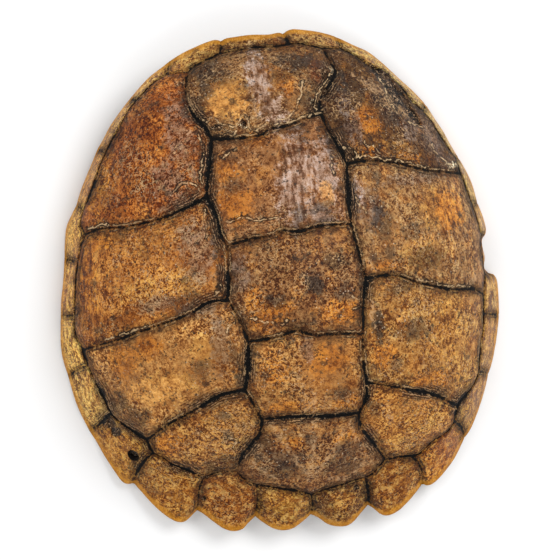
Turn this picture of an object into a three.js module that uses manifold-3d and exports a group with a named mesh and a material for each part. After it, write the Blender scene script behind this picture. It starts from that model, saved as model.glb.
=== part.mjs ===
// The upper shell (carapace) of an old snapping turtle, cleaned and dried, lying dome up.
// It is one piece: bone plates that have grown together, under horny scutes that are bonded
// to them all over. The scutes meet in narrow furrows. The hollow underside carries the
// backbone and the rib heads, which are fused to the bone.
// Millimetres. +Z is up, +Y points to the head, +X to the shell's right side. The origin is
// the middle of the plane that the shell rests on.
import * as THREE from "three";
import { mergeVertices } from "three/addons/utils/BufferGeometryUtils.js";
import Module from "manifold-3d";

// Driving sizes.
const domeHeight = 93; // ridge above the resting plane
const boneAtCentre = 4; // thickness of the wall under the ridge
const boneAtRim = 6; // thickness of the marginal bones
const rimRound = 1.5; // how far the outer edge stands above the foot of the rim
const furrowDepth = 1.3; // scute furrows
const furrowHalfWidth = 1.7;
const scutePillow = 1.4; // how much a scute swells between its furrows
const keelHeight = 1.6; // worn keel along the midline
const drilledHoleRadius = 3.5;
const drilledHoleAt = [-99.7, -87.9];

// Sampling steps of the faceted surface.
const seamStep = 7.5;
const rimStep = 6.6;

// The ring furrow between the costal and the marginal scutes, seen from above, anticlockwise
// from the right side. A named point is where another furrow meets the ring: m5m4R lies between
// marginals 5 and 4 on the right, c between costals, v next to a vertebral scute, n at the nuchal.
const ring = [
  [122.8, 13.5, "m6m5R"], [122.2, 20.4], [120.3, 32.5, "m5m4R"], [117.8, 43.8],
  [116, 51.4, "c2c1R"], [115.6, 61.4, "m4m3R"], [111.7, 66.4], [107.2, 74.2], [103.3, 84.2],
  [98.8, 92, "m3m2R"], [92.8, 97.6], [89.4, 103.1], [86.7, 108.1], [81.7, 114.2], [77.2, 118.7],
  [70.6, 119.8], [66.1, 122.6], [60.6, 128.1], [52.5, 132.8, "m2m1R"], [47, 133.3],
  [40.6, 133.7, "v1c1R"], [33.9, 136.2], [27.2, 138.1], [21.5, 138.4, "m1nR"], [11.7, 137.8],
  [0, 138.9], [-10, 138.4], [-19.8, 137.7, "m1nL"], [-28.9, 134.8], [-35.5, 132.3],
  [-39.4, 129.3, "v1c1L"], [-46.7, 129.8], [-51.8, 129.8, "m2m1L"], [-57.8, 127.3],
  [-64.4, 122.6], [-71.3, 116.9, "m3m2L"], [-77.8, 110.3], [-83.3, 102], [-88.9, 95.3],
  [-93, 89, "m4m3L"], [-97.8, 80.9], [-101.7, 72], [-105.6, 65.3], [-109.8, 58, "m5m4L"],
  [-112.3, 50.5], [-110.6, 43.5, "c1c2L"], [-113.9, 37.1], [-116.9, 28.5, "m6m5L"],
  [-119.4, 19.3], [-121.1, 8.2], [-123, -2.5, "m7m6L"], [-123.7, -9], [-123.3, -15.1],
  [-120.8, -22.8, "c2c3L"], [-119.3, -32, "m8m7L"], [-116.7, -40.7], [-113.9, -48.2],
  [-111.7, -54.9], [-109.6, -61.5, "m9m8L"], [-106.7, -65.4], [-102.2, -69.9], [-97.8, -73.8],
  [-91.3, -79, "c3c4L"], [-90, -83.8], [-88.6, -87.5, "m10m9L"], [-83.3, -91], [-79.4, -94.9],
  [-74.4, -97.7], [-68.9, -101], [-61.5, -106, "m11m10L"], [-52.2, -103.8],
  [-41.5, -104.7, "c4v5L"], [-39.4, -108.2], [-35.6, -111.6], [-31, -114.3, "m12m11L"],
  [-20, -117.7], [-8.9, -121], [0.5, -124.7, "m12m12"], [9.4, -122.7], [17.2, -121.6],
  [27.2, -119.9], [33.4, -119.3, "m12m11R"], [38.3, -117.1], [41.7, -113.8],
  [45.6, -110, "c4v5R"], [55, -109.9], [62, -110.3, "m11m10R"], [67.2, -109.6], [75, -103.8],
  [81.7, -101], [87.2, -97.7], [90.2, -93.8, "m10m9R"], [90.8, -90.4], [92.2, -84.7, "c3c4R"],
  [95, -81.6], [101.7, -77.1], [106.1, -72.7], [109.6, -67, "m9m8R"], [111.1, -57.1],
  [113.3, -48.4], [115.6, -42.9], [116.8, -33.3, "m8m7R"], [117.8, -28.4],
  [117.8, -21.8, "c2c3R"], [119.4, -18], [121.8, -10.5, "m7m6R"], [121.1, -4], [120.7, 4],
];

// The outer edge, seen from above, in the same order. The hind marginals end in blunt teeth,
// and a piece is missing from marginal 6 on the right.
const rim = [
  [130, 13.2, "m6m5R"], [130.6, 17.5], [129.7, 24], [127.6, 33, "m5m4R"], [125.6, 44.9],
  [122.8, 54], [119.8, 61.3, "m4m3R"], [115.6, 70.3], [112.2, 78.1], [107.2, 87],
  [102.6, 95.8, "m3m2R"], [96.1, 104.2], [89.4, 110.9], [82.8, 117.6], [76.1, 124.2],
  [69.4, 130.3], [61.7, 134.8], [52.2, 140.6, "m2m1R"], [46.1, 143.1], [39.4, 145.1],
  [31.7, 146.7], [26.1, 147.6], [22.2, 147], [19.7, 145.5, "m1nR"], [16.7, 146.4],
  [10.6, 145.9], [0, 146.9], [-8, 146.9], [-14, 146.8], [-17.2, 145.7, "m1nL"],
  [-21.1, 146.8], [-26.7, 145.9], [-32.2, 144.4], [-40, 142], [-47.8, 138.6, "m2m1L"],
  [-52.2, 135.9], [-60, 131.4], [-66.7, 126.2], [-73.8, 119.8, "m3m2L"], [-80, 113.7],
  [-86.7, 106.4], [-92.2, 98.7], [-96, 93.7, "m4m3L"], [-103.3, 80.9], [-108.9, 70.9],
  [-112.6, 62.5, "m5m4L"], [-116.7, 56.4], [-120.3, 50], [-122.4, 41], [-123.8, 31.8, "m6m5L"],
  [-126.7, 17.1], [-128.9, 8.2], [-130.4, -1.2, "m7m6L"], [-131.6, -9], [-132.7, -19],
  [-132.6, -27], [-130.8, -37.4, "m8m7L"], [-129.4, -47.3], [-127.2, -58],
  [-122.6, -71.4, "m9m8L"], [-119.4, -78.2], [-115.6, -87.7], [-111.1, -97.1], [-108, -102.9],
  [-105, -105.2], [-100.9, -105.3, "m10m9L"], [-96.7, -111.6], [-92.2, -118.2],
  [-86.7, -124.9], [-81.1, -129.9], [-76.7, -131.8], [-72.8, -131], [-66.3, -126, "m11m10L"],
  [-63, -128.5], [-57.8, -133.8], [-52.2, -138.8], [-46.7, -141.2], [-41.1, -140.7],
  [-36.8, -137.3], [-32.6, -134.4, "m12m11L"], [-28.9, -138.2], [-23.3, -142.7],
  [-17.8, -144.7], [-12.2, -144.6], [-6.7, -142.1], [0.3, -137.7, "m12m12"], [4.4, -140.4],
  [9.4, -144.9], [15, -147.1], [20.6, -147.6], [25, -145.8], [30.6, -141],
  [35.1, -137.2, "m12m11R"], [38.3, -139.9], [41.7, -143.6], [46.1, -145.2], [51.7, -143.8],
  [57.2, -140.4], [62.8, -136], [69.7, -129.7, "m11m10R"], [72.2, -131], [75.6, -130.7],
  [80.6, -127.7], [87.2, -122.1], [92.8, -116], [99.6, -106.3, "m10m9R"], [103.9, -101.6],
  [108.3, -94.9], [112.8, -87.1], [116.7, -79.3], [120.3, -70.6, "m9m8R"], [123.9, -62.7],
  [127.2, -52.7], [129.8, -43.5], [131.7, -36, "m8m7R"], [132.6, -27], [133.1, -16],
  [131.7, -11.5], [128.3, -9.8, "m7m6R"], [125, -6.2], [124.6, -1], [125.4, 6], [127.5, 11],
];

// Points that a furrow between two marginals passes on its way from the ring to the rim.
const marginalBends = {
  m1nL: [[-18.3, 141.5]],
  m8m7L: [[-125.6, -34.5]],
  m9m8L: [[-117, -68]],
  m10m9L: [[-94.5, -92.5], [-98.9, -99.3]],
  m11m10L: [[-64, -111.6], [-65.2, -119]],
  m12m11L: [[-31, -124]],
  m12m12: [[1.2, -131.5]],
  m12m11R: [[34.8, -128.2]],
  m11m10R: [[67.2, -117.1], [69.4, -123.8]],
  m10m9R: [[96.1, -98.8]],
  m9m8R: [[116, -68.7]],
};

// Where three of the large scutes meet, away from the ring.
const inner = {
  v1v2L: [-33.9, 87], v1v2R: [30.5, 94], v2c1c2L: [-41.7, 54.2], v2c1c2R: [40, 62.8],
  v2v3L: [-35, 25.4], v2v3R: [36.7, 28.2], v3c2c3L: [-38.3, -4.9], v3c2c3R: [40.6, -3.6],
  v3v4L: [-30, -29.8], v3v4R: [35, -34.3], v4c3c4L: [-34.5, -56.6], v4c3c4R: [35.2, -62.1],
  v4v5L: [-26.2, -75], v4v5R: [29.6, -79.3],
};

// The furrows between the vertebral and costal scutes: start, points on the way, end.
const furrows = [
  ["v1c1L", [[-42.8, 119.8], [-43.5, 110.5], [-41.1, 102], [-36.2, 94.5]], "v1v2L"],
  ["v1c1R", [[43.9, 123.1], [45, 118.7], [42.2, 113.7], [33.3, 104.2], [30.9, 99]], "v1v2R"],
  ["v1v2L", [[-24.4, 85.9], [-7.8, 85.3], [0, 88.1], [11.7, 89.2], [22.8, 92.6]], "v1v2R"],
  ["v1v2L", [[-36.7, 75.3], [-40, 63.1]], "v2c1c2L"],
  ["v1v2R", [[32.8, 84.2], [36.7, 73.1]], "v2c1c2R"],
  ["v2c1c2L", [[-55.6, 49.3], [-68.9, 45.7], [-86.7, 44.3], [-102.2, 45.4]], "c1c2L"],
  ["v2c1c2R", [[52.8, 63.3], [70.6, 60.3], [88.3, 54.8], [103.9, 52.2]], "c2c1R"],
  ["v2c1c2L", [[-38.3, 42.7], [-37.4, 33]], "v2v3L"],
  ["v2c1c2R", [[38.3, 49.3], [37, 37.1]], "v2v3R"],
  ["v2v3L", [[-22.2, 27.3], [-10, 27.6], [-3.3, 29.6], [6.1, 27.9], [19.4, 29.7]], "v2v3R"],
  ["v2v3L", [[-36.1, 11.6]], "v3c2c3L"],
  ["v2v3R", [[37.8, 18.2]], "v3c2c3R"],
  ["v3c2c3L", [[-48.9, -4.9], [-61.1, -10.1], [-85.6, -15.7], [-101.1, -19.3]], "c2c3L"],
  ["v3c2c3R", [[49.4, -2.9], [61.7, -4.6], [72.8, -9.6], [93.9, -16], [109.4, -17.6]], "c2c3R"],
  ["v3c2c3L", [[-34.4, -15.1]], "v3v4L"],
  ["v3c2c3R", [[37.8, -15.1]], "v3v4R"],
  ["v3v4L", [[-14.4, -29.3], [-3.3, -27.2], [6.1, -30.7], [21.7, -32.3]], "v3v4R"],
  ["v3v4L", [[-31.7, -43]], "v4c3c4L"],
  ["v3v4R", [[33.9, -48]], "v4c3c4R"],
  ["v4c3c4L", [[-48.9, -58.2], [-62.2, -64.3], [-76.7, -70.4]], "c3c4L"],
  ["v4c3c4R", [[48.3, -66], [60.6, -69.9], [75, -74.9]], "c3c4R"],
  ["v4c3c4L", [[-30.2, -66]], "v4v5L"],
  ["v4c3c4R", [[34.4, -71]], "v4v5R"],
  ["v4v5L", [[-13.3, -75.4], [2, -77.1], [14, -78.9]], "v4v5R"],
  ["v4v5L", [[-28.3, -83.8], [-38.3, -94.9]], "c4v5L"],
  ["v4v5R", [[31.1, -88.2], [38.3, -98.8]], "c4v5R"],
];

// Heights and profile by bearing, in degrees anticlockwise from the right side. The foot is
// lifted at 0 degrees, where the broken edge of marginal 6 runs higher up its slope.
const footHeight = [
  [0, 14], [5.5, 0], [30, 0], [45, 7], [62, 20], [90, 33], [118, 20], [135, 7], [150, 0],
  [180, 0], [210, 0], [228, 6], [250, 12], [270, 14], [290, 12], [312, 6], [330, 0], [354.5, 0],
];
const ringHeight = [
  [0, 26], [20, 26], [45, 28], [65, 36], [90, 41], [115, 36], [135, 28], [160, 26], [180, 26],
  [200, 28], [225, 35], [250, 34], [270, 33], [290, 34], [315, 35], [340, 28],
];
const steepness = [
  [0, 0.8], [45, 0.87], [90, 1], [135, 0.87], [180, 0.8], [225, 0.92], [270, 1.05], [315, 0.92],
];

// Value at a bearing, eased between the stated ones.
function atBearing(table, degrees) {
  const at = ((degrees % 360) + 360) % 360;
  const next = table.findIndex(([bearing]) => bearing > at);
  const [toBearing, toValue] = next < 0 ? [360, table[0][1]] : table[next];
  const [fromBearing, fromValue] = table.at(next < 0 ? -1 : next - 1);
  return THREE.MathUtils.lerp(
    fromValue, toValue, THREE.MathUtils.smoothstep(at, fromBearing, toBearing),
  );
}

// Evenly spaced points on a smooth curve through the given ones, both ends included.
function curvePoints(points, step) {
  const curve = new THREE.CatmullRomCurve3(points.map(([x, y]) => new THREE.Vector3(x, y, 0)));
  curve.arcLengthDivisions = 40 * points.length;
  const count = Math.max(1, Math.round(curve.getLength() / step));
  return curve.getSpacedPoints(count).map((p) => [p.x, p.y]);
}

// Splits a closed outline at its named points: [from, to, points on the way and both ends].
function stretches(outline) {
  const made = [];
  let open = [outline[0]];
  for (const point of [...outline.slice(1), outline[0]]) {
    open.push(point);
    if (point[2]) {
      made.push([open[0][2], point[2], open]);
      open = [point];
    }
  }
  return made;
}

// Radius of a closed outline against bearing, as a function.
function radiusOf(outline) {
  const samples = stretches(outline)
    .flatMap(([, , points]) => curvePoints(points, 0.5).slice(0, -1))
    .map(([x, y]) => [(Math.atan2(y, x) + 2 * Math.PI) % (2 * Math.PI), Math.hypot(x, y)])
    .sort((a, b) => a[0] - b[0]);
  return (angle) => {
    const at = (angle + 4 * Math.PI) % (2 * Math.PI);
    let low = 0;
    let high = samples.length;
    while (low < high) {
      const middle = (low + high) >> 1;
      if (samples[middle][0] < at) low = middle + 1;
      else high = middle;
    }
    const before = samples.at(low - 1);
    const after = samples[low % samples.length];
    const gap = (after[0] - before[0] + 2 * Math.PI) % (2 * Math.PI);
    const share = gap > 0 ? ((at - before[0] + 2 * Math.PI) % (2 * Math.PI)) / gap : 0;
    return THREE.MathUtils.lerp(before[1], after[1], share);
  };
}

const rimRadius = radiusOf(rim);
const ringRadiusExact = radiusOf(ring);

// The ring furrow's bearing radius without its small bends: the dome's foot follows this.
const smoothRing = Array.from({ length: 360 }, (_, degree) => {
  const reach = 7;
  let sum = 0;
  for (let k = -reach; k <= reach; k++) sum += ringRadiusExact(((degree + k) * Math.PI) / 180);
  return sum / (2 * reach + 1);
});
function ringRadius(angle) {
  const degree = ((((angle * 180) / Math.PI) % 360) + 360) % 360;
  const low = Math.floor(degree) % 360;
  return THREE.MathUtils.lerp(smoothRing[low], smoothRing[(low + 1) % 360], degree - Math.floor(degree));
}

// Height of the smooth dome at a bearing and a radius from the middle.
function domeAt(angle, radius) {
  const degrees = (angle * 180) / Math.PI;
  const ringZ = atBearing(ringHeight, degrees);
  const ringR = ringRadius(angle);
  if (radius <= ringR) {
    const fall = (1 - (radius / ringR) ** 2.05) ** atBearing(steepness, degrees);
    return ringZ + (domeHeight - ringZ) * fall;
  }
  const across = Math.min(1, (radius - ringR) / (rimRadius(angle) - ringR));
  return ringZ - (ringZ - atBearing(footHeight, degrees) - rimRound) * across ** 1.1;
}

// The unrolled plan: a marginal's steep face is laid out flat, at its true width, so that
// steps across it are as long as steps on the dome.
function marginalWidth(angle) {
  const degrees = (angle * 180) / Math.PI;
  const drop = atBearing(ringHeight, degrees) - atBearing(footHeight, degrees);
  return Math.hypot(drop, rimRadius(angle) - ringRadius(angle));
}
function unroll([x, y]) {
  const angle = Math.atan2(y, x);
  const radius = Math.hypot(x, y);
  const ringR = ringRadius(angle);
  if (radius <= ringR) return [x, y];
  const across = (radius - ringR) / (rimRadius(angle) - ringR);
  const flat = ringR + across * marginalWidth(angle);
  return [Math.cos(angle) * flat, Math.sin(angle) * flat];
}
function rollUp([x, y]) {
  const angle = Math.atan2(y, x);
  const flat = Math.hypot(x, y);
  const ringR = ringRadius(angle);
  if (flat <= ringR) return [x, y];
  const across = Math.min(1, (flat - ringR) / marginalWidth(angle));
  const radius = ringR + across * (rimRadius(angle) - ringR);
  return [Math.cos(angle) * radius, Math.sin(angle) * radius];
}

// All furrows as sampled lines between named junctions.
const lines = [
  ...furrows.map(([from, way, to]) => {
    const place = (name) => inner[name] ?? ring.find((p) => p[2] === name);
    return { from, to, points: curvePoints([place(from), ...way, place(to)], seamStep) };
  }),
  ...stretches(ring).map(([from, to, way]) => ({ from, to, points: curvePoints(way, seamStep) })),
  ...stretches(rim).map(([from, to, way]) => ({
    from: "rim " + from,
    to: "rim " + to,
    points: curvePoints(way, rimStep),
    edge: true,
  })),
  ...rim
    .filter((p) => p[2])
    .map((end) => {
      const start = ring.find((p) => p[2] === end[2]);
      const way = [start, ...(marginalBends[end[2]] ?? []), end];
      return { from: end[2], to: "rim " + end[2], points: curvePoints(way, seamStep) };
    }),
];

// Walks round every scute: at each junction the walk takes the next line clockwise.
function scuteLoops() {
  const halves = lines.flatMap((line) => [
    { ...line, twin: null },
    { ...line, from: line.to, to: line.from, points: [...line.points].reverse(), twin: null },
  ]);
  for (let i = 0; i < halves.length; i += 2) {
    halves[i].twin = halves[i + 1];
    halves[i + 1].twin = halves[i];
  }
  const heading = ({ points: [a, b] }) => Math.atan2(b[1] - a[1], b[0] - a[0]);
  const leaving = new Map();
  for (const half of halves) {
    if (!leaving.has(half.from)) leaving.set(half.from, []);
    leaving.get(half.from).push(half);
  }
  for (const fan of leaving.values()) fan.sort((a, b) => heading(a) - heading(b));
  const used = new Set();
  const loops = [];
  for (const first of halves) {
    if (used.has(first)) continue;
    const loop = [];
    let half = first;
    while (!used.has(half)) {
      used.add(half);
      half.points.slice(0, -1).forEach((point, k) => {
        loop.push({ point, furrow: !half.edge || k === 0 });
      });
      const fan = leaving.get(half.to);
      half = fan.at(fan.indexOf(half.twin) - 1);
    }
    const turned = THREE.ShapeUtils.area(loop.map(({ point: [x, y] }) => new THREE.Vector2(x, y)));
    if (turned > 0) loops.push(loop);
  }
  return loops;
}

// Triangles collect here as corner triples. Welding joins them afterwards.
const corners = [];
function triangle(a, b, c) {
  corners.push(...a, ...b, ...c);
}

// Height above the smooth dome of a point on a scute, by its share of the way to the middle.
function relief([x, y], towardsMiddle) {
  const fade = 1 - THREE.MathUtils.smoothstep(Math.abs(y), 92, 118);
  const keel = keelHeight * Math.exp(-(((x - 1) / 9) ** 2)) * fade;
  return scutePillow * Math.sqrt(towardsMiddle) + keel * towardsMiddle;
}

function outerPoint(flat, lift) {
  const [x, y] = rollUp(flat);
  return [x, y, domeAt(Math.atan2(y, x), Math.hypot(x, y)) + lift];
}

// One scute: its furrow, the shoulder beside it, and rings that close in on its middle.
function addScute(loop) {
  const flat = loop.map(({ point }) => unroll(point));
  const middle = [0, 1].map((k) => flat.reduce((sum, p) => sum + p[k], 0) / flat.length);
  const reach = Math.min(...flat.map((p) => Math.hypot(p[0] - middle[0], p[1] - middle[1])));
  const shares = reach > 26 ? [0.34, 0.68] : reach > 14 ? [0.5] : [];
  const moved = (p, share) => [
    THREE.MathUtils.lerp(p[0], middle[0], share),
    THREE.MathUtils.lerp(p[1], middle[1], share),
  ];
  const rows = [
    flat.map((p, k) => outerPoint(p, loop[k].furrow ? -furrowDepth : 0)),
    flat.map((p, k) => {
      const inset = loop[k].furrow ? furrowHalfWidth : 1.2 * furrowHalfWidth;
      const share = inset / Math.hypot(p[0] - middle[0], p[1] - middle[1]);
      return outerPoint(moved(p, share), relief(moved(p, share), share));
    }),
    ...shares.map((share) => flat.map((p) => outerPoint(moved(p, share), relief(moved(p, share), share)))),
  ];
  const count = flat.length;
  for (let row = 0; row + 1 < rows.length; row++) {
    for (let k = 0; k < count; k++) {
      const next = (k + 1) % count;
      triangle(rows[row][k], rows[row][next], rows[row + 1][next]);
      triangle(rows[row][k], rows[row + 1][next], rows[row + 1][k]);
    }
  }
  const top = outerPoint(middle, relief(middle, 1));
  rows.at(-1).forEach((p, k) => triangle(p, rows.at(-1)[(k + 1) % count], top));
}

// A point under the dome: the outer face moved inwards by the bone's thickness.
function underPoint(angle, across, towardsMiddle) {
  const ringR = ringRadius(angle);
  const edge = rimRadius(angle);
  const radius = across > 0 ? ringR + across * (edge - ringR) : ringR * (1 - towardsMiddle);
  const small = 0.5;
  const outward = Math.min(radius, edge - small);
  const slope = (domeAt(angle, outward + small) - domeAt(angle, outward - small)) / (2 * small);
  const thickness = THREE.MathUtils.lerp(boneAtRim, boneAtCentre, Math.min(1, 2 * towardsMiddle));
  const back = thickness / Math.hypot(1, slope);
  const inside = radius + slope * back;
  const z = Math.max(0, domeAt(angle, radius) - back);
  return [Math.cos(angle) * inside, Math.sin(angle) * inside, z];
}

// The underside: rings from the rim's foot to the middle of the hollow.
function addUnderside() {
  const edgePoints = lines.filter((line) => line.edge).flatMap((line) =>
    line.points.slice(0, -1).map((point, k) => ({ point, furrow: k === 0 })));
  const angles = edgePoints.map(({ point: [x, y] }) => Math.atan2(y, x));
  const footStep = 1.2;
  const rows = [
    edgePoints.map(({ point, furrow }) => outerPoint(unroll(point), furrow ? -furrowDepth : 0)),
    angles.map((angle) => {
      const radius = rimRadius(angle) - footStep;
      const z = atBearing(footHeight, (angle * 180) / Math.PI);
      return [Math.cos(angle) * radius, Math.sin(angle) * radius, z];
    }),
    ...[1, 0.5].map((across) => angles.map((angle) => underPoint(angle, across, 0))),
    ...[0, 0.12, 0.28, 0.46, 0.66, 0.84].map((share) => angles.map((angle) => underPoint(angle, 0, share))),
  ];
  const count = angles.length;
  for (let row = 0; row + 1 < rows.length; row++) {
    for (let k = 0; k < count; k++) {
      const next = (k + 1) % count;
      triangle(rows[row][next], rows[row][k], rows[row + 1][k]);
      triangle(rows[row][next], rows[row + 1][k], rows[row + 1][next]);
    }
  }
  const middle = [0, 0, domeHeight - boneAtCentre];
  rows.at(-1).forEach((p, k) => triangle(rows.at(-1)[(k + 1) % count], p, middle));
}

// Welds loose triangles into one indexed geometry.
function welded(values) {
  const geometry = new THREE.BufferGeometry();
  geometry.setAttribute("position", new THREE.Float32BufferAttribute(values, 3));
  return mergeVertices(geometry, 1e-3);
}

// A closed bar through the given centres, with an oval section of its own at each of them.
// The lean is the fall of the section's wide axis towards the head.
function bar(stations, sides) {
  const values = [];
  const loops = stations.map(({ at, along, wide, high, lean = 0 }) => {
    const forward = new THREE.Vector3(...along).normalize();
    const side = new THREE.Vector3(0, 0, 1).cross(forward).normalize();
    side.z = lean * side.y;
    side.normalize();
    const up = forward.clone().cross(side);
    return Array.from({ length: sides }, (_, k) => {
      const turn = (2 * Math.PI * k) / sides;
      return new THREE.Vector3(...at)
        .addScaledVector(side, Math.cos(turn) * wide)
        .addScaledVector(up, Math.sin(turn) * high)
        .toArray();
    });
  });
  const put = (a, b, c) => values.push(...a, ...b, ...c);
  for (let row = 0; row + 1 < loops.length; row++) {
    for (let k = 0; k < sides; k++) {
      const next = (k + 1) % sides;
      put(loops[row][k], loops[row][next], loops[row + 1][next]);
      put(loops[row][k], loops[row + 1][next], loops[row + 1][k]);
    }
  }
  for (let k = 1; k + 1 < sides; k++) {
    put(loops[0][0], loops[0][k + 1], loops[0][k]);
    put(loops.at(-1)[0], loops.at(-1)[k], loops.at(-1)[k + 1]);
  }
  return welded(values);
}

// The backbone: ten vertebrae in a row, waisted between their joints, hung under the ridge.
const vertebraCount = 10;
const backboneFront = 116;
const backboneBack = -112;
const vertebraLength = (backboneFront - backboneBack) / vertebraCount;
function underRidge(y) {
  const angle = y >= 0 ? Math.PI / 2 : -Math.PI / 2;
  return domeAt(angle, Math.abs(y)) - boneAtCentre;
}
const backboneDrop = 4.6; // centre line of the backbone below the bone above it
function backbone() {
  const half = vertebraLength / 2;
  const stations = [];
  for (let step = 0; step <= 2 * vertebraCount; step++) {
    const y = backboneFront - step * half;
    const joint = step % 2 === 0;
    stations.push({
      at: [0.5, y, underRidge(y) - backboneDrop],
      along: [0, -half, underRidge(y - half / 2) - underRidge(y + half / 2)],
      wide: joint ? 5.2 : 3.4,
      high: joint ? 5.6 : 5.2,
    });
  }
  return bar(stations, 8);
}

// A rib head: a short arch from the backbone to the costal bone beside it. Its outer end is
// sunk in the bone and lies along the slope of the dome.
const ribReach = 21;
const ribEndDepth = 3.3;
function ribHead(y, side) {
  const end = [side * ribReach, y - 2];
  const topAt = (x, along) => domeAt(Math.atan2(along, x), Math.hypot(x, along));
  const slopeAcross = topAt(end[0] + side, end[1]) - topAt(...end);
  const slopeAlong = topAt(end[0], end[1] + 1) - topAt(...end);
  const endZ = topAt(...end) - ribEndDepth * Math.hypot(1, slopeAcross, slopeAlong);
  const z = underRidge(y) - backboneDrop;
  const halfway = [side * 0.45 * ribReach, y - 1, THREE.MathUtils.lerp(z, endZ, 0.3) - 0.6];
  return bar(
    [
      { at: [0.5, y, z], along: [side, 0, 0], wide: 2.6, high: 2.2 },
      { at: halfway, along: [side, 0, 0], wide: 2, high: 1.4, lean: slopeAlong / 2 },
      { at: [...end, endZ], along: [side, 0, slopeAcross], wide: 3.6, high: 1.5, lean: slopeAlong },
    ],
    6,
  );
}

// Shallow pits where the horn has flaked away: place, half width, half length, depth.
const pits = [
  { at: [79.5, 111.5], wide: 2.4, long: 4.6, deep: 1.1 },
  { at: [81, 97.8], wide: 4.6, long: 2.2, deep: 0.9 },
  { at: [88.5, 86], wide: 3.8, long: 3.4, deep: 1 },
  { at: [-61.7, -118.8], wide: 1.7, long: 1.7, deep: 1.4 },
  { at: [27.4, -124.5], wide: 1.9, long: 1.9, deep: 1.2 },
];
function pit({ at: [x, y], wide, long, deep }) {
  const hollow = new THREE.IcosahedronGeometry(1, 1);
  hollow.scale(wide, long, deep + scutePillow);
  hollow.translate(x, y, domeAt(Math.atan2(y, x), Math.hypot(x, y)) + scutePillow / 2);
  return hollow;
}

function drilledHole() {
  const [x, y] = drilledHoleAt;
  const long = 40;
  const drill = new THREE.CylinderGeometry(drilledHoleRadius, drilledHoleRadius, long, 14);
  const lean = 0.45; // the drill stood square to the sloping marginal
  const bearing = Math.atan2(y, x);
  drill.rotateX(Math.PI / 2);
  drill.rotateY(lean);
  drill.rotateZ(bearing);
  drill.translate(x, y, domeAt(bearing, Math.hypot(x, y)));
  return drill;
}

const wasm = await Module();
wasm.setup();

function solid(geometry) {
  geometry.deleteAttribute("normal");
  geometry.deleteAttribute("uv");
  const merged = mergeVertices(geometry, 1e-3);
  return new wasm.Manifold(
    new wasm.Mesh({
      numProp: 3,
      vertProperties: merged.attributes.position.array,
      triVerts: new Uint32Array(merged.index.array),
    }),
  );
}

function carapace() {
  scuteLoops().forEach(addScute);
  addUnderside();
  let shell = solid(welded(corners)).add(solid(backbone()));
  for (let k = 1; k < vertebraCount; k++) {
    const y = backboneFront - k * vertebraLength;
    for (const side of [-1, 1]) shell = shell.add(solid(ribHead(y, side)));
  }
  for (const mark of pits) shell = shell.subtract(solid(pit(mark)));
  const mesh = shell.subtract(solid(drilledHole())).getMesh();
  const geometry = new THREE.BufferGeometry();
  geometry.setAttribute("position", new THREE.Float32BufferAttribute(mesh.vertProperties, 3));
  geometry.setIndex(new THREE.BufferAttribute(mesh.triVerts, 1));
  geometry.computeVertexNormals();
  const horn = new THREE.MeshStandardMaterial({ color: 0x8a5a2e, roughness: 0.42, metalness: 0 });
  const made = new THREE.Mesh(geometry, horn);
  made.name = "carapace";
  return made;
}

const turtleShell = new THREE.Group();
turtleShell.add(carapace());

export default turtleShell;
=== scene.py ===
import math

import bmesh
import bpy
import numpy as np
from mathutils import Matrix, Vector, kdtree, noise


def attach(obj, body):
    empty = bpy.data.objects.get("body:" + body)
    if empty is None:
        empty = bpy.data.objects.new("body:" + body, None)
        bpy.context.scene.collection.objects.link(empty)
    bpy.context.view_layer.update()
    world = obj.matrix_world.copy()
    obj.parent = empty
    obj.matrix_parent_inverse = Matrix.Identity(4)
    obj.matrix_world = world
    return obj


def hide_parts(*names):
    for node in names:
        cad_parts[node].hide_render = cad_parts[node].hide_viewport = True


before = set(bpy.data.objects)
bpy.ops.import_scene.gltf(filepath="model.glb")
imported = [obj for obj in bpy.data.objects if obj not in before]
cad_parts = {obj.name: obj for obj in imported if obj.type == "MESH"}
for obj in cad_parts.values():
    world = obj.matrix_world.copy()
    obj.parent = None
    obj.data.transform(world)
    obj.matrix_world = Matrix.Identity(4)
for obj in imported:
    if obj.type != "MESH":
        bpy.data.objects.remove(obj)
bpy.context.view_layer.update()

# The outline of the shell: its bone dome and rim of marginal bones grew as one piece. Lengths
# are millimetres, x to the shell's right side, y to its head, z up. The ring furrow and the
# outer edge run anticlockwise from the right side, with a name where another furrow meets them.
dome_height = 93
bone_at_centre = 4
bone_at_rim = 6
rim_round = 1.5
dome_curve = 2.05
rim_curve = 1.1

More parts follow.
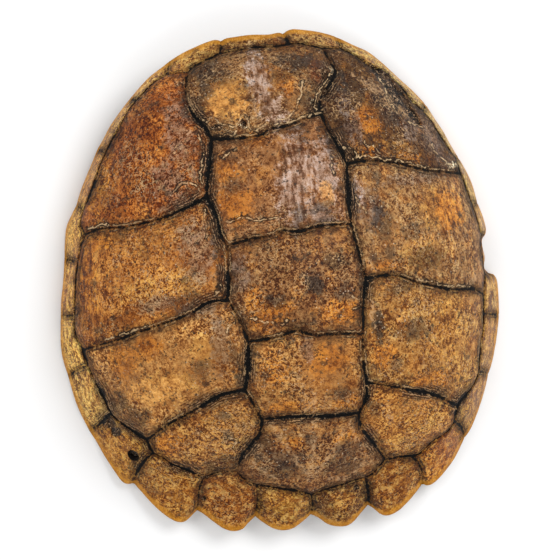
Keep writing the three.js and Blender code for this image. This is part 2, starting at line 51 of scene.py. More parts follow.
# m5m4R lies between marginals 5 and 4 on the right, c between costals, v at a vertebral scute,
# n at the nuchal.
ring = [
    (122.8, 13.5, "m6m5R"), (121.6, 20.3), (119.2, 32.2, "m5m4R"), (116.4, 43.3),
    (114.5, 50.8, "c2c1R"), (114, 60.6, "m4m3R"), (110.2, 65.5), (105.8, 73.2), (101.9, 83),
    (97.3, 90.7, "m3m2R"), (91.4, 96.2), (88.1, 101.7), (85.4, 106.7), (80.6, 112.8),
    (76.2, 117.3), (69.9, 118.6), (65.5, 121.6), (60.1, 127.3), (52.3, 132.3, "m2m1R"),
    (47, 133.3), (40.6, 133.7, "v1c1R"), (33.9, 136.2), (27.2, 138.1), (21.5, 138.4, "m1nR"),
    (11.7, 137.8), (0, 138.9), (-10, 138.4), (-19.8, 137.7, "m1nL"), (-28.9, 134.8),
    (-35.5, 132.3), (-39.4, 129.3, "v1c1L"), (-46.7, 129.8), (-51.8, 129.8, "m2m1L"),
    (-57.8, 127.3), (-64.4, 122.6), (-71.3, 116.9, "m3m2L"), (-77.8, 110.3), (-83.3, 102),
    (-88.9, 95.3), (-93, 89, "m4m3L"), (-97.8, 80.9), (-101.7, 72), (-105.6, 65.3),
    (-109.8, 58, "m5m4L"), (-112.3, 50.5), (-110.6, 43.5, "c1c2L"), (-113.9, 37.1),
    (-116.9, 28.5, "m6m5L"), (-119.4, 19.3), (-121.1, 8.2), (-123, -2.5, "m7m6L"),
    (-123.7, -9), (-123.3, -15.1), (-120.8, -22.8, "c2c3L"), (-119.3, -32, "m8m7L"),
    (-116.7, -40.7), (-113.9, -48.2), (-111.7, -54.9), (-109.6, -61.5, "m9m8L"),
    (-106.7, -65.4), (-102.2, -69.9), (-97.8, -73.8), (-91.3, -79, "c3c4L"), (-90, -83.8),
    (-88.6, -87.5, "m10m9L"), (-83.3, -91), (-79.4, -94.9), (-74.4, -97.7), (-68.9, -101),
    (-61.5, -106, "m11m10L"), (-52.2, -103.8), (-41.5, -104.7, "c4v5L"), (-39.4, -108.2),
    (-35.6, -111.6), (-31, -114.3, "m12m11L"), (-20, -117.7), (-8.9, -121),
    (0.5, -124.7, "m12m12"), (9.4, -122.7), (17.2, -121.6), (27.2, -119.9),
    (33.4, -119.3, "m12m11R"), (38.3, -117.1), (41.7, -113.8), (45.6, -110, "c4v5R"),
    (55, -109.9), (62, -110.3, "m11m10R"), (67.2, -109.6), (75, -103.8), (81.7, -101),
    (87.2, -97.7), (90.2, -93.8, "m10m9R"), (90.8, -90.4), (92.2, -84.7, "c3c4R"),
    (95, -81.6), (101.7, -77.1), (106.1, -72.7), (109.6, -67, "m9m8R"), (111.1, -57.1),
    (113.3, -48.4), (115.6, -42.9), (116.8, -33.3, "m8m7R"), (117.8, -28.4),
    (117.8, -21.8, "c2c3R"), (119.4, -18), (121.8, -10.5, "m7m6R"), (121.1, -4), (120.7, 4),
]

rim = [
    (130, 13.2, "m6m5R"), (130.6, 17.5), (129.7, 24), (127.6, 33, "m5m4R"), (125.6, 44.9),
    (122.8, 54), (119.8, 61.3, "m4m3R"), (115.6, 70.3), (112.2, 78.1), (107.2, 87),
    (102.6, 95.8, "m3m2R"), (96.1, 104.2), (89.4, 110.9), (82.8, 117.6), (76.1, 124.2),
    (69.4, 130.3), (61.7, 134.8), (52.2, 140.6, "m2m1R"), (46.1, 143.1), (39.4, 145.1),
    (31.7, 146.7), (26.1, 147.6), (22.2, 147), (19.7, 145.5, "m1nR"), (16.7, 146.4),
    (10.6, 145.9), (0, 146.9), (-8, 146.9), (-14, 146.8), (-17.2, 145.7, "m1nL"),
    (-21.1, 146.8), (-26.7, 145.9), (-32.2, 144.4), (-40, 142), (-47.8, 138.6, "m2m1L"),
    (-52.2, 135.9), (-60, 131.4), (-66.7, 126.2), (-73.8, 119.8, "m3m2L"), (-80, 113.7),
    (-86.7, 106.4), (-92.2, 98.7), (-96, 93.7, "m4m3L"), (-103.3, 80.9), (-108.9, 70.9),
    (-112.6, 62.5, "m5m4L"), (-116.7, 56.4), (-120.3, 50), (-122.4, 41),
    (-123.8, 31.8, "m6m5L"), (-126.7, 17.1), (-128.9, 8.2), (-130.4, -1.2, "m7m6L"),
    (-131.6, -9), (-132.7, -19), (-132.6, -27), (-130.8, -37.4, "m8m7L"), (-129.4, -47.3),
    (-127.2, -58), (-122.6, -71.4, "m9m8L"), (-119.4, -78.2), (-115.6, -87.7),
    (-111.1, -97.1), (-108, -102.9), (-105, -105.2), (-100.9, -105.3, "m10m9L"),
    (-96.7, -111.6), (-92.2, -118.2), (-86.7, -124.9), (-81.1, -129.9), (-76.7, -131.8),
    (-72.8, -131), (-66.3, -126, "m11m10L"), (-63, -128.5), (-57.8, -133.8),
    (-52.2, -138.8), (-46.7, -141.2), (-41.1, -140.7), (-36.8, -137.3),
    (-32.6, -134.4, "m12m11L"), (-28.9, -138.2), (-23.3, -142.7), (-17.8, -144.7),
    (-12.2, -144.6), (-6.7, -142.1), (0.3, -137.7, "m12m12"), (4.4, -140.4),
    (9.4, -144.9), (15, -147.1), (20.6, -147.6), (25, -145.8), (30.6, -141),
    (35.1, -137.2, "m12m11R"), (38.3, -139.9), (41.7, -143.6), (46.1, -145.2),
    (51.7, -143.8), (57.2, -140.4), (62.8, -136), (69.7, -129.7, "m11m10R"), (72.2, -131),
    (75.6, -130.7), (80.6, -127.7), (87.2, -122.1), (92.8, -116), (99.6, -106.3, "m10m9R"),
    (103.9, -101.6), (108.3, -94.9), (112.8, -87.1), (116.7, -79.3), (120.3, -70.6, "m9m8R"),
    (123.9, -62.7), (127.2, -52.7), (129.8, -43.5), (131.7, -36, "m8m7R"), (132.6, -27),
    (133.1, -16), (131.7, -11.5), (128.3, -9.8, "m7m6R"), (125, -6.2), (124.6, -1),
    (125.4, 6), (127.5, 11),
]

# Heights and steepness by bearing, in degrees anticlockwise from the right side. The foot is
# lifted at 0 degrees, where a piece is broken out of marginal 6.
foot_height = [
    (0, 14), (5.5, 0), (30, 0), (45, 7), (62, 20), (90, 33), (118, 20), (135, 7), (150, 0),
    (180, 0), (210, 0), (228, 6), (250, 12), (270, 14), (290, 12), (312, 6), (330, 0),
    (354.5, 0),
]
ring_height = [
    (0, 26), (20, 26), (45, 28), (65, 36), (90, 41), (115, 36), (135, 28), (160, 26),
    (180, 26), (200, 28), (225, 35), (250, 34), (270, 33), (290, 34), (315, 35), (340, 28),
]
steepness = [
    (0, 0.8), (45, 0.87), (90, 1), (135, 0.87), (180, 0.8), (225, 0.92), (270, 1.05),
    (315, 0.92),
]


def at_bearing(table, bearing):
    """Values at bearings in radians, eased between the stated ones."""
    stops = np.array([stop for stop, _ in table] + [360.0])
    values = np.array([value for _, value in table] + [table[0][1]], float)
    degrees = np.mod(np.degrees(bearing), 360)
    k = np.clip(np.searchsorted(stops, degrees, side="right") - 1, 0, len(stops) - 2)
    t = (degrees - stops[k]) / (stops[k + 1] - stops[k])
    t = t * t * (3 - 2 * t)
    return values[k] + (values[k + 1] - values[k]) * t


def smooth_line(points, step):
    """Evenly spaced points on a smooth line through the given ones."""
    given = np.array([point[:2] for point in points], float)
    given = np.vstack([2 * given[0] - given[1], given, 2 * given[-1] - given[-2]])
    t = np.linspace(0, 1, 12, endpoint=False)[:, None]
    path = [
        0.5 * (2 * b + (c - a) * t + (2 * a - 5 * b + 4 * c - d) * t**2
               + (3 * b - a - 3 * c + d) * t**3)
        for a, b, c, d in zip(given, given[1:], given[2:], given[3:])
    ]
    path = np.vstack(path + [given[-2:-1]])
    length = np.r_[0, np.cumsum(np.hypot(*np.diff(path, axis=0).T))]
    at = np.linspace(0, length[-1], max(2, round(length[-1] / step) + 1))
    return np.c_[np.interp(at, length, path[:, 0]), np.interp(at, length, path[:, 1])]


def stretches(outline):
    """A closed outline split at its named points: from, to, and the points between."""
    made = []
    open_stretch = [outline[0]]
    for point in outline[1:] + outline[:1]:
        open_stretch.append(point)
        if len(point) > 2:
            made.append((open_stretch[0][2], point[2], open_stretch))
            open_stretch = [point]
    return made


def radius_by_bearing(outline):
    """Radius of a closed outline, as a function of the bearing."""
    line = np.vstack([smooth_line(way, 0.5)[:-1] for _, _, way in stretches(outline)])
    bearing = np.mod(np.arctan2(line[:, 1], line[:, 0]), 2 * math.pi)
    order = np.argsort(bearing)
    radius = np.hypot(line[:, 0], line[:, 1])
    return lambda at: np.interp(at, bearing[order], radius[order], period=2 * math.pi)


rim_radius = radius_by_bearing(rim)
full_circle = np.radians(np.arange(360))
exact_ring = radius_by_bearing(ring)
evened_over = range(-7, 8)
even_ring = sum(exact_ring(full_circle + math.radians(k)) for k in evened_over) / len(evened_over)


def ring_radius(bearing):
    """Radius where the dome ends and the marginal bones begin, without its small bends."""
    return np.interp(bearing, full_circle, even_ring, period=2 * math.pi)


def dome_at(bearing, radius):
    """Height of the smooth outer face."""
    ring_z = at_bearing(ring_height, bearing)
    ring_r = ring_radius(bearing)
    share = np.clip(radius / ring_r, 0, 1)
    fall = (1 - share**dome_curve) ** at_bearing(steepness, bearing)
    across = np.clip((radius - ring_r) / (rim_radius(bearing) - ring_r), 0, 1)
    low = ring_z - (ring_z - at_bearing(foot_height, bearing) - rim_round) * across**rim_curve
    return np.where(radius <= ring_r, ring_z + (dome_height - ring_z) * fall, low)


def marginal_width(bearing):
    """Width of the steep marginal face along its slope."""
    drop = at_bearing(ring_height, bearing) - at_bearing(foot_height, bearing)
    return np.hypot(drop, rim_radius(bearing) - ring_radius(bearing))


def unroll(points):
    """Plan points with the steep marginals laid out flat at their true width."""
    bearing = np.arctan2(points[:, 1], points[:, 0])
    radius = np.hypot(points[:, 0], points[:, 1])
    ring_r = ring_radius(bearing)
    across = (radius - ring_r) / (rim_radius(bearing) - ring_r)
    flat = np.where(radius <= ring_r, radius, ring_r + across * marginal_width(bearing))
    return np.c_[np.cos(bearing) * flat, np.sin(bearing) * flat]


def roll_up(points):
    """The way back from the unrolled plan: bearings and true radii."""
    bearing = np.arctan2(points[:, 1], points[:, 0])
    flat = np.hypot(points[:, 0], points[:, 1])
    ring_r = ring_radius(bearing)
    across = np.clip((flat - ring_r) / marginal_width(bearing), 0, 1)
    radius = np.where(flat <= ring_r, flat, ring_r + across * (rim_radius(bearing) - ring_r))
    return bearing, radius


# The furrows where the horny scutes meet: V are the five vertebral scutes down the middle,
# C the costals beside them, M the marginals round the rim, N the nuchal at the neck.
where_three_meet = {
    "v1v2L": (-33.9, 87), "v1v2R": (30.5, 94), "v2c1c2L": (-41.7, 54.2),
    "v2c1c2R": (40, 62.8), "v2v3L": (-35, 25.4), "v2v3R": (36.7, 28.2),
    "v3c2c3L": (-38.3, -4.9), "v3c2c3R": (40.6, -3.6), "v3v4L": (-30, -29.8),
    "v3v4R": (35, -34.3), "v4c3c4L": (-34.5, -56.6), "v4c3c4R": (35.2, -62.1),
    "v4v5L": (-26.2, -75), "v4v5R": (29.6, -79.3),
}
furrows = [
    ("v1c1L", [(-42.8, 119.8), (-43.5, 110.5), (-41.1, 102), (-36.2, 94.5)], "v1v2L"),
    ("v1c1R", [(43.9, 123.1), (45, 118.7), (42.2, 113.7), (33.3, 104.2), (30.9, 99)], "v1v2R"),
    ("v1v2L", [(-24.4, 85.9), (-7.8, 85.3), (0, 88.1), (11.7, 89.2), (22.8, 92.6)], "v1v2R"),
    ("v1v2L", [(-36.7, 75.3), (-40, 63.1)], "v2c1c2L"),
    ("v1v2R", [(32.8, 84.2), (36.7, 73.1)], "v2c1c2R"),
    ("v2c1c2L", [(-55.6, 49.3), (-68.9, 45.7), (-86.7, 44.3), (-102.2, 45.4)], "c1c2L"),
    ("v2c1c2R", [(52.8, 63.3), (70.6, 60.3), (88.3, 54.8), (103.9, 52.2)], "c2c1R"),
    ("v2c1c2L", [(-38.3, 42.7), (-37.4, 33)], "v2v3L"),
    ("v2c1c2R", [(38.3, 49.3), (37, 37.1)], "v2v3R"),
    ("v2v3L", [(-22.2, 27.3), (-10, 27.6), (-3.3, 29.6), (6.1, 27.9), (19.4, 29.7)], "v2v3R"),
    ("v2v3L", [(-36.1, 11.6)], "v3c2c3L"),
    ("v2v3R", [(37.8, 18.2)], "v3c2c3R"),
    ("v3c2c3L", [(-48.9, -4.9), (-61.1, -10.1), (-85.6, -15.7), (-101.1, -19.3)], "c2c3L"),
    ("v3c2c3R", [(49.4, -2.9), (61.7, -4.6), (72.8, -9.6), (93.9, -16), (109.4, -17.6)],
     "c2c3R"),
    ("v3c2c3L", [(-34.4, -15.1)], "v3v4L"),
    ("v3c2c3R", [(37.8, -15.1)], "v3v4R"),
    ("v3v4L", [(-14.4, -29.3), (-3.3, -27.2), (6.1, -30.7), (21.7, -32.3)], "v3v4R"),
    ("v3v4L", [(-31.7, -43)], "v4c3c4L"),
    ("v3v4R", [(33.9, -48)], "v4c3c4R"),
    ("v4c3c4L", [(-48.9, -58.2), (-62.2, -64.3), (-76.7, -70.4)], "c3c4L"),
    ("v4c3c4R", [(48.3, -66), (60.6, -69.9), (75, -74.9)], "c3c4R"),
    ("v4c3c4L", [(-30.2, -66)], "v4v5L"),
    ("v4c3c4R", [(34.4, -71)], "v4v5R"),
    ("v4v5L", [(-13.3, -75.4), (2, -77.1), (14, -78.9)], "v4v5R"),
    ("v4v5L", [(-28.3, -83.8), (-38.3, -94.9)], "c4v5L"),
    ("v4v5R", [(31.1, -88.2), (38.3, -98.8)], "c4v5R"),
]
marginal_bends = {
    "m1nL": [(-18.3, 141.5)],
    "m8m7L": [(-125.6, -34.5)],
    "m9m8L": [(-117, -68)],
    "m10m9L": [(-94.5, -92.5), (-98.9, -99.3)],
    "m11m10L": [(-64, -111.6), (-65.2, -119)],
    "m12m11L": [(-31, -124)],
    "m12m12": [(1.2, -131.5)],
    "m12m11R": [(34.8, -128.2)],
    "m11m10R": [(67.2, -117.1), (69.4, -123.8)],
    "m10m9R": [(96.1, -98.8)],
    "m9m8R": [(116, -68.7)],
}
ring_place = {point[2]: point[:2] for point in ring if len(point) > 2}
rim_place = {point[2]: point[:2] for point in rim if len(point) > 2}
place_of = {**where_three_meet, **ring_place}

line_step = 0.4
lines = [
    (start, end, smooth_line([place_of[start], *way, place_of[end]], line_step), True)
    for start, way, end in furrows
]
for start, end, way in stretches(ring):
    lines.append((start, end, smooth_line(way, line_step), True))
for name, place in rim_place.items():
    way = [ring_place[name], *marginal_bends.get(name, []), place]
    lines.append((name, "rim " + name, smooth_line(way, line_step), True))
for start, end, way in stretches(rim):
    lines.append(("rim " + start, "rim " + end, smooth_line(way, line_step), False))


def walk_round_scutes():
    """The closed outline of every scute: at each junction the walk turns clockwise."""
    halves = []
    for start, end, points, _ in lines:
        halves.append((start, end, points))
        halves.append((end, start, points[::-1]))
    fans = {}
    for k, (start, _, points) in enumerate(halves):
        heading = math.atan2(*(points[3 if len(points) > 3 else 1] - points[0])[::-1])
        fans.setdefault(start, []).append((heading, k))
    for fan in fans.values():
        fan.sort()
    used = set()
    outlines = []
    for first in range(len(halves)):
        outline = []
        k = first
        while k not in used:
            used.add(k)
            outline.append(halves[k][2][:-1])
            fan = [half for _, half in fans[halves[k][1]]]
            k = fan[fan.index(k ^ 1) - 1]
        if outline:
            x, y = np.vstack(outline).T
            if np.sum(x * np.roll(y, -1) - y * np.roll(x, -1)) > 0:
                outlines.append(np.c_[x, y])
    return outlines


scute_outlines = [unroll(outline) for outline in walk_round_scutes()]

# The horny skin of the shell, over the bone: one fine sheet from the middle of the back to
# the rim. Its points lie on rings, and those beside a furrow are drawn onto it, so every
# furrow has a sharp bottom.
rows = 150
furrow_depth = 1.3
furrow_half_width = 1.7
scute_pillow = 1.4
keel_height = 1.6
keel_width = 9
growth_line_gap = 2.6
growth_line_height = 0.02
snap_reach = 0.52
smallest_face = 0.06


def ring_of_rows(count):
    """Points of a disc as bearing and share of the radius, with 6 more in every row."""
    bearings = [np.zeros(1)]
    shares = [np.zeros(1)]
    for row in range(1, count + 1):
        bearings.append(np.arange(6 * row) * (2 * math.pi / (6 * row)))
        shares.append(np.full(6 * row, row / count))
    return np.concatenate(bearings), np.concatenate(shares)


def disc_faces(count):
    """Triangles between the rows of such a disc, facing up."""
    faces = []
    inner_start, inner_size = 0, 1
    for row in range(1, count + 1):
        outer_start, outer_size = inner_start + inner_size, 6 * row
        for sector in range(6):
            for k in range(row):
                outer = outer_start + (sector * row + k) % outer_size
                outer_next = outer_start + (sector * row + k + 1) % outer_size
                inner = inner_start + (sector * (row - 1) + k) % inner_size
                faces.append((inner, outer, outer_next))
                if k < row - 1:
                    inner_next = inner_start + (sector * (row - 1) + k + 1) % inner_size
                    faces.append((inner, outer_next, inner_next))
        inner_start, inner_size = outer_start, outer_size
    return np.array(faces)


skin_bearing, skin_share = ring_of_rows(rows)
skin_faces = disc_faces(rows)
full_width = ring_radius(skin_bearing) + marginal_width(skin_bearing)
flat = np.c_[np.cos(skin_bearing), np.sin(skin_bearing)] * (skin_share * full_width)[:, None]
on_rim = skin_share > 0.999

furrow_points = np.vstack([unroll(points) for _, _, points, is_furrow in lines if is_furrow])


def nearest_of(marks, points):
    """For every point, the index of the nearest mark and the distance to it."""
    search = kdtree.KDTree(len(marks))
    for k, (x, y) in enumerate(marks):
        search.insert((x, y, 0), k)
    search.balance()
    found = [search.find((x, y, 0)) for x, y in points]
    return np.array([hit[1] for hit in found]), np.array([hit[2] for hit in found])


def turned_area(points):
    """Area of every triangle of the skin, below zero where it has turned over."""
    a, b, c = (points[skin_faces[:, k]] for k in range(3))
    return 0.5 * ((b - a)[:, 0] * (c - a)[:, 1] - (b - a)[:, 1] * (c - a)[:, 0])


nearest, distance = nearest_of(furrow_points, flat)
snapped = (distance < snap_reach) & ~on_rim
even_flat = flat.copy()
for _ in range(6):
    flat = np.where(snapped[:, None], furrow_points[nearest], even_flat)
    thin = skin_faces[turned_area(flat) < smallest_face]
    if not len(thin):
        break
    worst = np.argmax(np.where(snapped[thin], distance[thin], -1), axis=1)
    snapped[thin[np.arange(len(thin)), worst]] = False
flat = np.where(snapped[:, None], furrow_points[nearest], even_flat)
furrow_distance = np.where(snapped, 0, distance)
bearing, radius = roll_up(flat)
plan = np.c_[np.cos(bearing), np.sin(bearing)] * radius[:, None]
smooth_height = dome_at(bearing, radius)


def roughness_at(points, size, octaves=3, seed=0.0):
    """Soft unevenness between about -1 and 1, with lumps of the given size."""
    return np.array([
        noise.fractal(Vector((x / size + seed, y / size, z / size)), 0.9, 2.1, octaves)
        for x, y, z in points
    ])


def eased(value, low, high):
    """From 0 at the low value to 1 at the high one, with soft ends."""
    t = np.clip((value - low) / (high - low), 0, 1)
    return t * t * (3 - 2 * t)


base_points = np.c_[plan, smooth_height]
broad_lumps = roughness_at(base_points, 26, 3, 4.0)
fine_lumps = roughness_at(base_points, 5, 3, 9.0)
wander = roughness_at(base_points, 9, 2, 17.0)
is_marginal = eased(radius - exact_ring(bearing), -0.4, 0.4)

furrow_reach = furrow_half_width * (1 + 0.35 * wander)
relief = -furrow_depth * (1 - eased(furrow_distance, 0, furrow_reach))
relief += scute_pillow * (1 - np.exp(-furrow_distance / 9)) * (1 - 0.35 * is_marginal)
relief += 0.45 * broad_lumps * eased(furrow_distance, 1, 6)
relief += (0.07 + 0.22 * is_marginal) * fine_lumps * eased(furrow_distance, 0.5, 2.5)
keel_fade = 1 - eased(np.abs(plan[:, 1]), 92, 118)
keel = keel_height * np.exp(-((plan[:, 0] - 1) / keel_width) ** 2) * keel_fade
relief += keel * eased(furrow_distance, 0, 12)
growth_lines = np.sin(furrow_distance * 2 * math.pi / growth_line_gap + 2.5 * wander)
growth_lines *= (1 - eased(furrow_distance, 8, 20)) * (1 - is_marginal)
relief += growth_line_height * growth_lines

skin_points = np.c_[plan, smooth_height + relief]

# What grew and happened on the horn: torn pale edges, an eroded trough in the right front
# costal, flaked pits, and stains and worn places of each colour, among them a painted sheen and
# painted highlights of light. A place is its middle and its half sizes in plan.
torn_edges = [
    [(-37.6, 101.8), (-35.2, 97.2), (-32.7, 98.8), (-30.1, 98.3), (-26.9, 95), (-21.2, 92.3)],
    [(-19.5, 92.7), (-16.9, 95.9), (-13.7, 98.4), (-12, 95.2), (-11.2, 91.2), (-9.4, 88.6),
     (-6.4, 88.4), (-2.1, 90.8), (6.6, 90.6), (11.6, 90.6), (18.3, 92.6), (30.5, 95)],
    [(-31.2, 88.6), (-26.6, 88.2), (-21.8, 87.9), (-18.8, 89.4)],
    [(24.1, 114.1), (22, 109.4), (19.4, 103), (15.7, 97.2), (10.4, 93.7), (4.4, 92.6)],
    [(41.6, 116.7), (35.2, 110.6), (29.8, 104.8), (28.2, 99.5), (28.6, 95.3)],
    [(-30.1, 75.2), (-26.4, 77.5), (-21.8, 78.9)],
    [(-40.8, 90.7), (-40.4, 87.7), (-39.6, 85)],
    [(-43.6, 62.4), (-43.6, 67.5), (-41.2, 73.9), (-39.5, 78.6)],
    [(45, 65.2), (49.8, 66), (53.3, 66.3), (58.5, 64.9), (69.2, 62.4), (80.2, 59.4)],
    [(81.5, 61.6), (83, 58.6), (86.2, 57.6), (91.8, 55.6), (104.7, 53.6)],
    [(39.6, 71.9), (43.3, 71.8), (46.1, 69.4), (47.2, 66.7)],
    [(97.1, 69.6), (98.3, 64.5), (102, 60.6), (104.7, 58.5)],
    [(104.6, 59.5), (105.7, 56.4), (111, 57.4), (113.8, 55)],
    [(52.6, 74.2), (54.7, 71.1), (57.5, 71.6), (62.2, 66.4)],
    [(71, 112), (73.4, 108.4), (74.2, 104.4), (73.6, 98), (76.8, 93.4), (78, 88.7),
     (83.8, 84.3), (88.4, 82.2), (92.4, 80.6)],
    [(42, 44.5), (43.3, 39.3), (46.3, 33.9)],
    [(30.9, 67.8), (30.7, 62.1), (31.1, 57.6)],
    [(-59.4, 59.8), (-56.3, 63), (-53.6, 64.3), (-47.2, 61.5), (-44.4, 57.9)],
    [(-33.9, 38.6), (-30.1, 39.2), (-23.3, 39.6), (-15.2, 37), (-3.8, 37.7)],
    [(-27, -17), (-20.4, -19.6), (-14.6, -21.2), (-10.5, -22.6), (-7.6, -20.4)],
    [(-108.5, 46.4), (-103.1, 47.4), (-97.1, 46.9)],
    [(-108, -18.6), (-104.8, -17.8), (-95.3, -15.8), (-85.1, -13.6)],
    [(-44.2, 47.4), (-44.6, 39.5), (-45.3, 29.1)],
    [(-41.7, -23.2), (-39.6, -19.2), (-37.6, -18.4)],
    [(-47.6, -2.6), (-44.7, -0.2), (-41.8, 4)],
    [(31.4, -12), (35.8, -16.7), (32.1, -19.3)],
    [(73.4, -7.7), (83.1, -10.8), (93.2, -13.9), (107.8, -16.2)],
    [(-45.7, -83.7), (-41.4, -85.8), (-43.1, -90.1)],
]
faint_lines = [
    [(3, -80.5), (1.5, -90), (0.9, -101.6), (0.1, -114.6)],
    [(-15.8, -87.6), (-10.1, -98.5), (-1.1, -114.4)],
    [(23.2, -86), (16.3, -94.4), (2.2, -113.8)],
    [(-22, -79), (-18.3, -82.9), (-15.2, -87.7)],
    [(-27.1, -91.1), (-33.7, -99), (-30.5, -103.9), (-19.7, -111.7)],
    [(11.5, -116), (18.9, -118.1), (24.8, -115.1), (33, -109.7)],
    [(-2, -64), (-1.8, -73.5)], [(2.9, -64), (3.2, -74)],
    [(24.4, -84.1), (26.6, -91.6), (33.1, -100)],
    [(47.3, -79), (48.5, -88.6)],
    [(42.1, 6.7), (47.3, 1.1)],
    [(43.4, -17.6), (41.7, -23.6), (42.5, -31.1)],
    [(113, -9.8), (109.9, -13.3), (105.9, -15.4)],
    [(66, 110), (74, 101), (84, 88)], [(60, 112), (70, 100), (78, 90)], [(54, 116), (62, 107)],
]
trough = [
    (68, 120, 1.6), (73.6, 113.6, 3.4), (76.6, 107.6, 4.6), (79, 101.4, 6), (83, 94.6, 5.8),
    (87.2, 88.6, 4.2), (91.4, 82.4, 1),
]
flaked_pits = [
    (-61.7, -118.8, 1.7, 1.7), (27.4, -124.5, 1.9, 1.9), (-108, -73, 3, 3), (-110, -68, 2.4, 4),
    (44.5, 67.6, 2.6, 3.2), (27.5, 99, 1.8, 3.4), (-14.6, 93.4, 1.4, 2.2), (-30, 93.5, 4, 2.2),
    (-60, -106, 3, 1.6), (38, 116.4, 2, 3.6), (36, 106, 2, 4),
]
stains = {
    "amber": [
        (-27, 48, 12, 11), (-29, 68, 7, 9), (14, 115, 5, 11), (19, 136, 8, 4), (-10, 84, 7, 4),
        (32, 80, 4, 12), (-16, -14, 13, 7), (23, -20, 11, 7), (-24, -6, 6, 8), (13, -46, 12, 9),
        (-17, -48, 8, 9), (-104, 66, 6, 14), (-94, 84, 7, 20), (-10, -93, 7, 5),
        (21, -92, 7, 4), (-105, 37, 9, 4), (-114, 16, 6, 28), (-20, -18, 9, 8),
        (-100, -31, 8, 12), (-86, -26, 10, 7),
        (-79, -84, 9, 7), (59, 88, 10, 9), (100, 30, 10, 12), (54, 2, 8, 4), (47, -48, 8, 8),
        (75, -67, 14, 6), (24, -71, 8, 4), (-12, -70, 14, 3), (54, 68, 6, 4), (78, 62, 9, 4),
    ],
    "smoke": [
        (-9, 116, 1.6, 3), (-8, 108, 2.4, 3), (-32, 116, 5, 5), (-27, 128, 12, 6),
        (22, 127, 14, 5), (-27, 74, 6, 3), (-26, 58, 6, 5), (16, 80, 4, 3), (22, 40, 6, 4),
        (8, 38, 5, 5), (9, -1, 8, 7), (-13, -8, 6, 3), (27, -9, 6, 6), (1, -91, 4, 6),
        (-50, 58, 5, 4), (-61, -3, 9, 6), (-58, -42, 7, 6), (-39, -38, 3, 12), (-37, -52, 3, 5),
        (72, 88, 8, 7), (57, 54, 4, 4), (55, 36, 4, 6), (52, 26, 4, 5), (73, 20, 7, 5),
        (57, 10, 4, 5), (47, 8, 3, 4), (-48, -70, 4, 3), (-46, -82, 4, 4), (39, -79, 4, 6),
        (45, -30, 4, 12), (53, -54, 4, 4), (67, -36, 12, 6), (-17, -99, 14, 7), (23, -100, 9, 6),
        (-40, 74, 3, 16), (-39, 44, 3, 14), (40, 46, 2.4, 14), (-40, 8, 3, 12), (38, 5, 2.4, 20),
        (38, 122, 5, 6), (46, 112, 5, 8), (-45, 112, 3, 12), (33, 75, 3, 12), (20, -66, 8, 4),
    ],
    # A painted sheen: the grey-mauve shine of light down the ridge of the front vertebral scutes.
    "painted_sheen": [
        (-1, 116, 7, 24), (4, 98, 9, 12), (12, 64, 10, 22), (3, 48, 8, 18), (26, 58, 8, 22),
        (20, 36, 12, 6), (44, 46, 4, 9),
    ],
    "umber": [
        (22, 127, 17, 9), (34, 113, 7, 12), (-28, 124, 12, 7), (-37, 105, 4, 11),
        (52, 106, 9, 13), (43, 90, 6, 13), (67, 98, 8, 11), (32, 79, 6, 13), (16, 85, 8, 3),
        (25, 100, 6, 8), (-18, -107, 15, 6), (18, -109, 14, 6), (-27, -92, 6, 9),
        (-105, -56, 5, 8), (-97, -66, 9, 7), (12, 119, 7, 5), (10, -3, 7, 6), (24, 8, 7, 5),
        (-13, -9, 7, 5), (56, 26, 6, 11), (80, 4, 12, 7), (60, -11, 9, 4), (-50, -99, 12, 5),
        (38, 97, 4, 8), (-39, 30, 4, 14), (41, 44, 4, 12), (45, -32, 4, 10),
    ],
    "ash": [
        (2, -38, 4, 8), (84, 80, 7, 7), (-50, 92, 9, 26), (-62, 66, 12, 12), (48, 84, 5, 12),
        (-52, 26, 10, 20), (98, 72, 7, 12), (45, 98, 5, 8), (50, 36, 8, 12), (-60, 52, 12, 5),
        (-56, -8, 14, 5), (-46, -30, 6, 18), (-80, -2, 14, 5), (80, 50, 22, 4), (-30, 10, 6, 12),
    ],
    "rust": [
        (-82, 84, 10, 24), (-94, 58, 9, 10), (-70, 100, 8, 12), (-74, 64, 10, 9), (-62, 112, 6, 8),
        (-113, -7, 7, 5), (-100, -9, 12, 4), (18, 140, 10, 3), (34, 120, 5, 8),
    ],
    "gold": [
        (-100, 72, 7, 22), (-78, -50, 16, 11), (-52, -30, 12, 10), (95, 32, 14, 14), (78, 6, 16, 9),
        (90, -40, 16, 20), (96, -66, 12, 8), (78, -86, 10, 8), (58, -92, 12, 9),
        (-62, 8, 12, 10), (-84, 4, 12, 10), (-21, 110, 14, 12), (-24, 122, 6, 3),
    ],
    # Bright pale amber spots, partly painted highlights where light shines off the horn, as on the
    # second vertebral scute.
    "glow": [
        (-23, 110, 9, 7), (-16, 104, 7, 5), (-31, 104, 5, 4), (25, 47, 4, 7),
        (-82, -52, 16, 8), (-12, -78, 8, 1.5),
    ],
    "cream": [
        (-15.4, 91.6, 2.6, 1.8), (109, 56.4, 5, 2), (43, 120, 1.6, 3), (27, 101, 1.4, 2.4),
    ],
}
